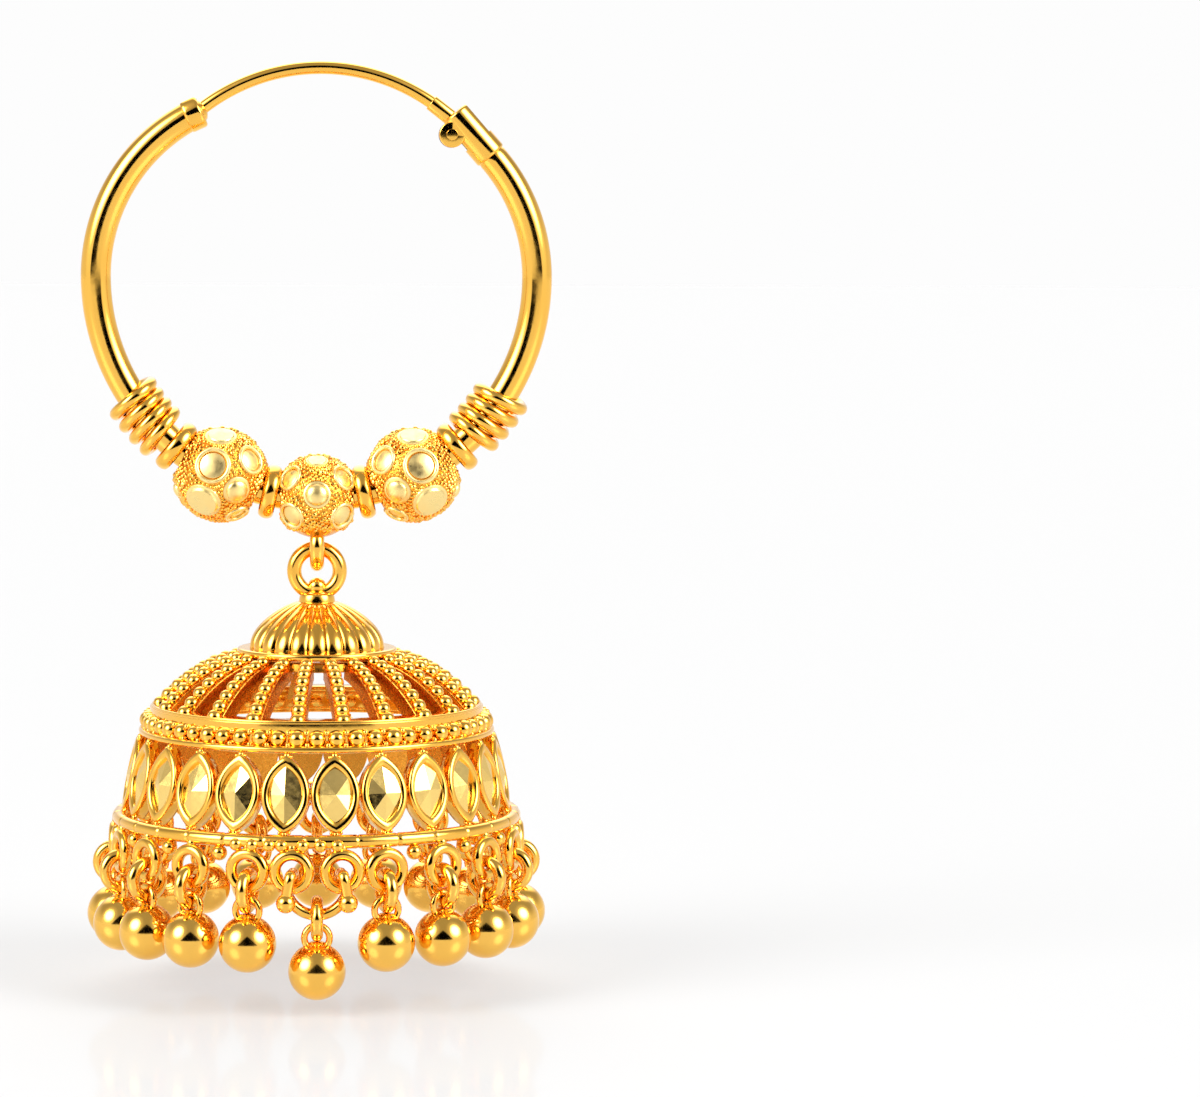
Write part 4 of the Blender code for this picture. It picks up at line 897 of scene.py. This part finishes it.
def add_facets(work, place, dice):
    """Flat facets from the raised middle to the bezel, each tilted a little by the cutter's hand."""
    outline = marquise(PETAL_WIDTH - 1.9 * PETAL_BEZEL, PETAL_HEIGHT - 3.0 * PETAL_BEZEL, -FACET_RIM_DEPTH)
    step = len(outline) // FACET_COUNT
    middle = Vector((PETAL_DOME - 0.12 * MM, dice.uniform(-0.05, 0.05) * MM, dice.uniform(-0.12, 0.02) * MM))
    knots = []
    for k in range(FACET_COUNT):
        knot = outline[k * step].copy()
        knot.x += dice.uniform(-0.13, 0.10) * MM
        knots.append(knot)
    for k, knot in enumerate(knots):
        following = knots[(k + 1) % FACET_COUNT]
        normal = (knot - middle).cross(following - middle)
        fan = []
        for i in range(step + 1):
            edge = outline[(k * step + i) % len(outline)]
            depth = middle.x - ((edge.y - middle.y) * normal.y + (edge.z - middle.z) * normal.z) / normal.x
            fan.append(work.verts.new(place @ Vector((depth, edge.y, edge.z))))
        work.faces.new([work.verts.new(place @ middle)] + fan)


lean = atan2(PETAL_FOOT_RADIUS - PETAL_TOP_RADIUS, PETAL_HEIGHT)
stand = (Matrix.Translation((petal_middle_radius, 0, petal_middle_z)) @ Matrix.Rotation(-lean, 4, "Y")
         @ Matrix.Scale(cos(lean), 4, (0, 0, 1)))
bezels, facets, backs = bmesh.new(), bmesh.new(), bmesh.new()
dice = random.Random(24)
for i in range(PETAL_COUNT):
    place = front_angle(FIRST_PETAL_ANGLE + 360 * i / PETAL_COUNT)
    add_skin(bezels, [[place @ stand @ corner for corner in loop] for loop in bezel_loops()], closed=False)
    add_facets(facets, place @ stand, dice)
    back = [marquise(PETAL_WIDTH - BACK_INSET, PETAL_HEIGHT - BACK_INSET, -PETAL_THICKNESS - depth)
            for depth in (BACK_THICKNESS / 2, -BACK_THICKNESS / 2)]
    add_skin(backs, [[place @ stand @ corner for corner in loop] for loop in back], closed=False)
    between = front_angle(FIRST_PETAL_ANGLE + 360 * (i + 0.5) / PETAL_COUNT)
    joint_reach = (petal_middle_radius - PETAL_THICKNESS * 0.42) * cos(pi / PETAL_COUNT)
    for height, size in SIDE_JOINTS:
        joint = between @ Matrix.Translation((joint_reach, 0, petal_middle_z + height * MM))
        add_ball(bezels, size * MM, joint, 16)
    for across, up, size in TIP_JOINTS:
        tip = stand @ Vector((-0.28 * MM, across * MM, up * PETAL_HEIGHT))
        add_ball(bezels, size * MM, place @ Matrix.Translation(tip), 16)
piece("bezels_of_the_petals", bezels, buffed_gold, "bell", "petal_band", slot="bright_cut_gold", crease=50)
piece("unpolished_backs_of_the_petals", backs, satin_gold_with_painted_shade, "bell", "petal_band", slot="bright_cut_gold")
piece("bright_cut_facets", facets, bright_cut_gold, "bell", "petal_band", slot="bright_cut_gold", crease=2)

# Rim. A heavy round wire, soldered from short lengths whose joints show as fine grooves, with a few granules
# over its front. Under it stand the loops for the drops, and a granule between each two of them.
RIM_WIRE_DIAMETER = 0.84 * MM
RIM_RADIUS = 12.28 * MM
RIM_GROOVE_STEP = 11.5             # degrees
RIM_GROOVE_WIDTH = 0.6             # degrees
RIM_GROOVE_DEPTH = 0.05 * MM
RIM_GRANULE_DIAMETER = 0.80 * MM
RIM_GRANULE_REACH = 0.28 * MM      # outward and down from the wire's middle
RIM_GRANULE_DROP = 0.20 * MM
RIM_GRANULE_ANGLES = (-22.6, -17.9, -13.2, -9.7, -3.8, 0.9, 5.6)
LOOP_WIRE_DIAMETER = 0.70 * MM
LOOP_RADIUS = 1.02 * MM
LOOP_RING_RADIUS = 12.55 * MM
PAIR_LOOP_ANGLE = 6.9
FIRST_LOOP_ANGLE = 19.3
SIDE_LOOP_COUNT = 9
UNDER_GRANULE_DIAMETER = 0.94 * MM
UNDER_GRANULE_REACH = 0.05 * MM
UNDER_GRANULE_SEAT = 0.42          # of its diameter, how far its middle is below the rim wire
LOOP_DROP = 0.28 * MM              # how much lower the solder lets the loops hang than in the plain model
SOLDER_DIAMETER = 0.62 * MM

rim_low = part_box("rim")[0]
rim_z = petal_low.z - SEAT_GAP - RIM_WIRE_DIAMETER / 2
loop_z = rim_low.z + LOOP_WIRE_DIAMETER / 2 + LOOP_RADIUS - LOOP_DROP
loop_step = (180 - FIRST_LOOP_ANGLE) / SIDE_LOOP_COUNT
side_loops = [FIRST_LOOP_ANGLE + loop_step * i for i in range(SIDE_LOOP_COUNT)]
drop_loops = side_loops + [180] + [-angle for angle in reversed(side_loops)]

rim_circle, rim_sizes = [], []
for i in range(720):
    angle = i / 2
    rim_circle.append(front_angle(angle) @ Vector((RIM_RADIUS, 0, rim_z)))
    to_groove = abs((angle + RIM_GROOVE_STEP / 2) % RIM_GROOVE_STEP - RIM_GROOVE_STEP / 2)
    rim_sizes.append(RIM_WIRE_DIAMETER / 2 - (RIM_GROOVE_DEPTH if to_groove < RIM_GROOVE_WIDTH / 2 else 0))
work = bmesh.new()
add_wire(work, rim_circle, rim_sizes, sides=20, closed=True)
over = Matrix.Translation((RIM_RADIUS + RIM_GRANULE_REACH, 0, rim_z - RIM_GRANULE_DROP))
for angle in RIM_GRANULE_ANGLES:
    add_ball(work, RIM_GRANULE_DIAMETER / 2, front_angle(angle) @ over)
solder = Matrix.Translation(((RIM_RADIUS + LOOP_RING_RADIUS) / 2, 0, (rim_z + loop_z + LOOP_RADIUS) / 2))
for angle in [-PAIR_LOOP_ANGLE, PAIR_LOOP_ANGLE] + drop_loops:
    seat = front_angle(angle)
    middle = seat @ Vector((LOOP_RING_RADIUS, 0, loop_z))
    add_ring(work, middle, seat @ Vector((0, 1, 0)), (0, 0, 1), LOOP_RADIUS, LOOP_WIRE_DIAMETER, sides=18)
    add_ball(work, SOLDER_DIAMETER / 2, seat @ solder, 20)
under_z = rim_z - RIM_WIRE_DIAMETER / 2 - UNDER_GRANULE_DIAMETER * UNDER_GRANULE_SEAT
under = Matrix.Translation((RIM_RADIUS + UNDER_GRANULE_REACH, 0, under_z))
for side in (-1, 1):
    for angle in side_loops:
        seat = front_angle(side * (angle + loop_step / 2))
        add_ball(work, UNDER_GRANULE_DIAMETER / 2, seat @ under, 24)
piece("rim_with_its_loops", work, buffed_gold, "bell", "rim")

# Swag link. A U of round wire that comes forward through the two front loops and ends in a ball on each
# side, so it can't slip out. The middle drop hangs on it.
SWAG_WIRE_DIAMETER = 0.68 * MM
SWAG_RADIUS = 1.84 * MM
SWAG_HANG = 0.15 * MM
SWAG_END_LENGTH = 1.35 * MM
SWAG_END_SPLAY = 0.25 * MM
SWAG_BALL_DIAMETER = 1.18 * MM
SWAG_BALL_DROP = 0.20 * MM
LINK_GAP = 0.10 * MM

swag_wire_radius = SWAG_WIRE_DIAMETER / 2
loop_wire_radius = LOOP_WIRE_DIAMETER / 2
pair_x = LOOP_RING_RADIUS * sin(radians(PAIR_LOOP_ANGLE))
pair_y = -LOOP_RING_RADIUS * cos(radians(PAIR_LOOP_ANGLE))
thread_z = loop_z - LOOP_RADIUS + loop_wire_radius + swag_wire_radius + LINK_GAP
swag_y = pair_y + loop_wire_radius + swag_wire_radius + LINK_GAP
swag_z = loop_z + LOOP_DROP - LOOP_RADIUS - SWAG_HANG


def smoothed(corners, steps=8):
    """A smooth line through a chain of points."""
    ends = [corners[0] * 2 - corners[1]] + corners + [corners[-1] * 2 - corners[-2]]
    line = []
    for before, start, stop, after in zip(ends, ends[1:], ends[2:], ends[3:]):
        square = 2 * before - 5 * start + 4 * stop - after
        cube = 3 * start - before - 3 * stop + after
        for t in spread(0, 1, steps)[:-1]:
            line.append(0.5 * (2 * start + (stop - before) * t + square * t ** 2 + cube * t ** 3))
    return line + [corners[-1]]


work = bmesh.new()
ends = []
for side in (-1, 1):
    outward = Vector((side * sin(radians(PAIR_LOOP_ANGLE)), -cos(radians(PAIR_LOOP_ANGLE)), 0))
    hole = Vector((side * pair_x, pair_y, thread_z))
    reach = outward * (loop_wire_radius + swag_wire_radius + LINK_GAP)
    end = hole + reach + Vector((side * SWAG_END_SPLAY, 0, -SWAG_END_LENGTH))
    ends.append([hole - reach - Vector((0, 0, LOOP_WIRE_DIAMETER)), hole - reach, hole, hole + reach, end])
arc = [Vector((SWAG_RADIUS * sin(radians(t)), swag_y, swag_z - SWAG_RADIUS * cos(radians(t))))
       for t in spread(-72, 72, 12)]
add_wire(work, smoothed(list(reversed(ends[0])) + arc + ends[1]), swag_wire_radius, sides=20)
for end in ends:
    add_ball(work, SWAG_BALL_DIAMETER / 2, Matrix.Translation(end[-1] - Vector((0, 0, SWAG_BALL_DROP))))
piece("swag_link_with_ball_ends", work, buffed_gold, "bell", "swag_link")

# Ball drops. Hollow gold balls pressed in halves and soldered, each with a small wire eye on top, hung on
# a round jump ring. One hangs on the swag link and the others on the rim's loops.
JUMP_RING_RADIUS = 1.02 * MM
JUMP_WIRE_DIAMETER = 0.74 * MM
EYE_RING_RADIUS = 0.755 * MM
EYE_WIRE_DIAMETER = 0.42 * MM
EYE_DROP = 1.19 * MM               # the eye's centre below the jump ring's
BALL_RADIUS = 1.73 * MM
BALL_DROP = 3.20 * MM
SOLDER_RADIUS = 0.72 * MM

# The solder between ball and eye: shares of that radius, and heights in millimetres from the ball's top
SOLDER_OUTLINE = ((0, -0.40), (1.0, -0.24), (0.80, -0.10), (0.66, 0.02), (0.5, 0.07), (0, 0.08))

# Spun and tumbled gold ball: the smoothest skin on the earring, whose highlights fade out softly
spun_gold = gold_finish("spun_ball_gold", "#FFCB62", "#FFC356", 0.12, 0.80 * MM, 0.0010 * MM)

jump_ring_z = loop_z - LOOP_RADIUS + loop_wire_radius + JUMP_WIRE_DIAMETER / 2 + LINK_GAP - JUMP_RING_RADIUS
swag_drop_z = swag_z - SWAG_RADIUS + swag_wire_radius + JUMP_WIRE_DIAMETER / 2 + LINK_GAP - JUMP_RING_RADIUS
ball_top = BALL_RADIUS - BALL_DROP
solder = [(SOLDER_RADIUS * share, ball_top + height * MM) for share, height in SOLDER_OUTLINE]
hanging_points = [(0, -swag_y, swag_drop_z)]
hanging_points += [(angle, LOOP_RING_RADIUS, jump_ring_z) for angle in drop_loops]
for number, (angle, reach, height) in enumerate(hanging_points, start=1):
    place = front_angle(angle) @ Matrix.Translation((reach, 0, height))
    across, outward, up = (place.to_3x3() @ Vector(axis) for axis in ((0, 1, 0), (1, 0, 0), (0, 0, 1)))
    work = bmesh.new()
    add_ring(work, place.translation, outward, up, JUMP_RING_RADIUS, JUMP_WIRE_DIAMETER)
    eye_centre = place @ Vector((0, 0, -EYE_DROP))
    add_ring(work, eye_centre, across, up, EYE_RING_RADIUS, EYE_WIRE_DIAMETER, 40, 16)
    add_ball(work, BALL_RADIUS, place @ Matrix.Translation((0, 0, -BALL_DROP)), 56)
    add_turned(work, solder, 32, place)
    piece(f"ball_drop_{number:02d}", work, spun_gold, "bell", f"drop_{number:02d}")

# The studio: a pale floor just under the lowest ball, two large soft lamps in front to the left and right,
# a weaker one behind, a black card behind the camera, and an even pale surround that is darker overhead.
FLOOR_GAP = 1.0 * MM
FLOOR_SIZE = 4.0
FLOOR_MATT = "#8F8F8F"
FLOOR_GLOW = 0.50                  # light that comes up through the floor sheet
FLOOR_SHEEN = 0.06
FLOOR_SHEEN_ROUGHNESS = 0.09
BACKDROP = "#FDFDFD"
LAMP_AZIMUTH = 59                  # degrees to each side of the camera
LAMP_HEIGHT = 30                   # degrees above the horizon
LAMP_STRENGTH = 10.0
LAMP_SPREAD = (5, 24)              # degrees from its middle: even so far, and faded out there
LAMP_SPILL = 0.40                  # the faint wider light round each lamp
SPILL_SPREAD = (8, 40)
HORIZON_LIGHT = 0.86
OVERHEAD_LIGHT = 0.42
CARD_WIDTH = 0.84                  # tangents of the angles that the black card fills, seen from the earring
CARD_HEIGHT = 0.80

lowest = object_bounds()[0].z
floor_mesh = bpy.data.meshes.new("studio_floor")
half = FLOOR_SIZE / 2
corners = [(-half, -half, 0), (half, -half, 0), (half, half, 0), (-half, half, 0)]
floor_mesh.from_pydata(corners, [], [(0, 1, 2, 3)])
floor = bpy.data.objects.new("studio_floor", floor_mesh)
floor.location.z = lowest - FLOOR_GAP
bpy.context.scene.collection.objects.link(floor)

# Opal acrylic sheet, lit from below: it shows only a faint shadow, and a faint image of what stands on it
sheet = bpy.data.materials.new("opal_acrylic_sheet")
sheet.use_nodes = True
tree = sheet.node_tree
tree.nodes.remove(tree.nodes["Principled BSDF"])
matt = add_node(tree, "ShaderNodeBsdfDiffuse", {"Color": linear(FLOOR_MATT)})
glow = add_node(tree, "ShaderNodeEmission", {"Color": linear("#FFFFFF"), "Strength": FLOOR_GLOW})
lit = add_node(tree, "ShaderNodeAddShader", {0: matt.outputs[0], 1: glow.outputs[0]})
sheen = add_node(tree, "ShaderNodeBsdfGlossy", {
    "Color": linear("#FFFFFF"), "Roughness": FLOOR_SHEEN_ROUGHNESS})
mixed = add_node(tree, "ShaderNodeMixShader", {0: FLOOR_SHEEN, 1: lit.outputs[0], 2: sheen.outputs[0]})
tree.links.new(mixed.outputs[0], tree.nodes["Material Output"].inputs["Surface"])
floor_mesh.materials.append(sheet)


def soft_lamp(tree, direction, azimuth, height, core, edge, strength):
    """The light of a round softbox in the surround, even in its core and fading to its edge, in degrees."""
    a, h = radians(azimuth), radians(height)
    toward = (sin(a) * cos(h), -cos(a) * cos(h), sin(h))
    facing = add_node(tree, "ShaderNodeVectorMath", {0: direction, 1: toward}, operation="DOT_PRODUCT")
    glow = add_node(tree, "ShaderNodeMapRange", {
        "Value": facing.outputs["Value"], "From Min": cos(radians(edge)), "From Max": cos(radians(core)),
        "To Min": 0.0, "To Max": strength}, interpolation_type="SMOOTHSTEP")
    return glow.outputs["Result"]


world = bpy.data.worlds.new("studio_surround")
world.use_nodes = True
bpy.context.scene.world = world
tree = world.node_tree
direction = add_node(tree, "ShaderNodeTexCoord").outputs["Generated"]
axes = add_node(tree, "ShaderNodeSeparateXYZ", {0: direction}).outputs
light = add_node(tree, "ShaderNodeMapRange", {"Value": axes["Z"], "From Min": 0.05, "From Max": 0.55,
                                              "To Min": HORIZON_LIGHT, "To Max": OVERHEAD_LIGHT},
                 interpolation_type="SMOOTHSTEP").outputs["Result"]
lamps = [(side * LAMP_AZIMUTH, LAMP_HEIGHT, *spread_of_light)
         for spread_of_light in ((*LAMP_SPREAD, LAMP_STRENGTH), (*SPILL_SPREAD, LAMP_SPILL))
         for side in (-1, 1)]
lamps.append((180, 45, 5, 40, LAMP_STRENGTH / 4))
for lamp in lamps:
    glow = soft_lamp(tree, direction, *lamp)
    light = add_node(tree, "ShaderNodeMath", {0: light, 1: glow}, operation="ADD").outputs[0]
sideways = add_node(tree, "ShaderNodeMath", {0: axes["X"]}, operation="ABSOLUTE").outputs[0]
sideways = add_node(tree, "ShaderNodeMath", {0: sideways, 1: CARD_WIDTH}, operation="DIVIDE").outputs[0]
upward = add_node(tree, "ShaderNodeMath", {0: axes["Z"], 1: CARD_HEIGHT}, operation="DIVIDE").outputs[0]
beyond = add_node(tree, "ShaderNodeMath", {0: sideways, 1: upward}, operation="ADD").outputs[0]
outside = add_node(tree, "ShaderNodeMath", {0: beyond, 1: axes["Y"]}, operation="ADD").outputs[0]
card = add_node(tree, "ShaderNodeMapRange", {"Value": outside, "From Min": -0.05, "From Max": 0.03})
lit = card.outputs["Result"]
light = add_node(tree, "ShaderNodeMath", {0: light, 1: lit}, operation="MULTIPLY").outputs[0]
surround = add_node(tree, "ShaderNodeBackground", {"Color": linear("#FFFFFF"), "Strength": light})
plain = add_node(tree, "ShaderNodeBackground", {"Color": linear(BACKDROP), "Strength": 1.0})
seen = add_node(tree, "ShaderNodeLightPath").outputs["Is Camera Ray"]
shown = add_node(tree, "ShaderNodeMixShader", {0: seen, 1: surround.outputs[0], 2: plain.outputs[0]})
tree.links.new(shown.outputs[0], tree.nodes["World Output"].inputs["Surface"])
tree.nodes.remove(tree.nodes["Background"])

# The camera: a long lens a little above the middle of the earring, turned so that the earring stands left of
# the picture's middle.
CAMERA_DISTANCE = 279 * MM
CAMERA_HEIGHT = -7.2 * MM
CAMERA_TILT = 4.6                  # degrees down
CAMERA_PAN = 3.61                  # degrees to the right
CAMERA_ROLL = 0.3
CAMERA_LENS = 135

camera = bpy.data.objects.new("camera", bpy.data.cameras.new("camera"))
camera.data.lens = CAMERA_LENS
camera.data.sensor_width = 36
camera.data.clip_start = 0.01
camera.location = (0, -CAMERA_DISTANCE, CAMERA_HEIGHT)
camera.rotation_euler = (Matrix.Rotation(radians(-CAMERA_PAN), 3, "Z")
                         @ Matrix.Rotation(radians(90 - CAMERA_TILT), 3, "X")
                         @ Matrix.Rotation(radians(CAMERA_ROLL), 3, "Z")).to_euler()
bpy.context.scene.collection.objects.link(camera)
bpy.context.scene.camera = camera
bpy.context.scene.view_settings.view_transform = "Standard"
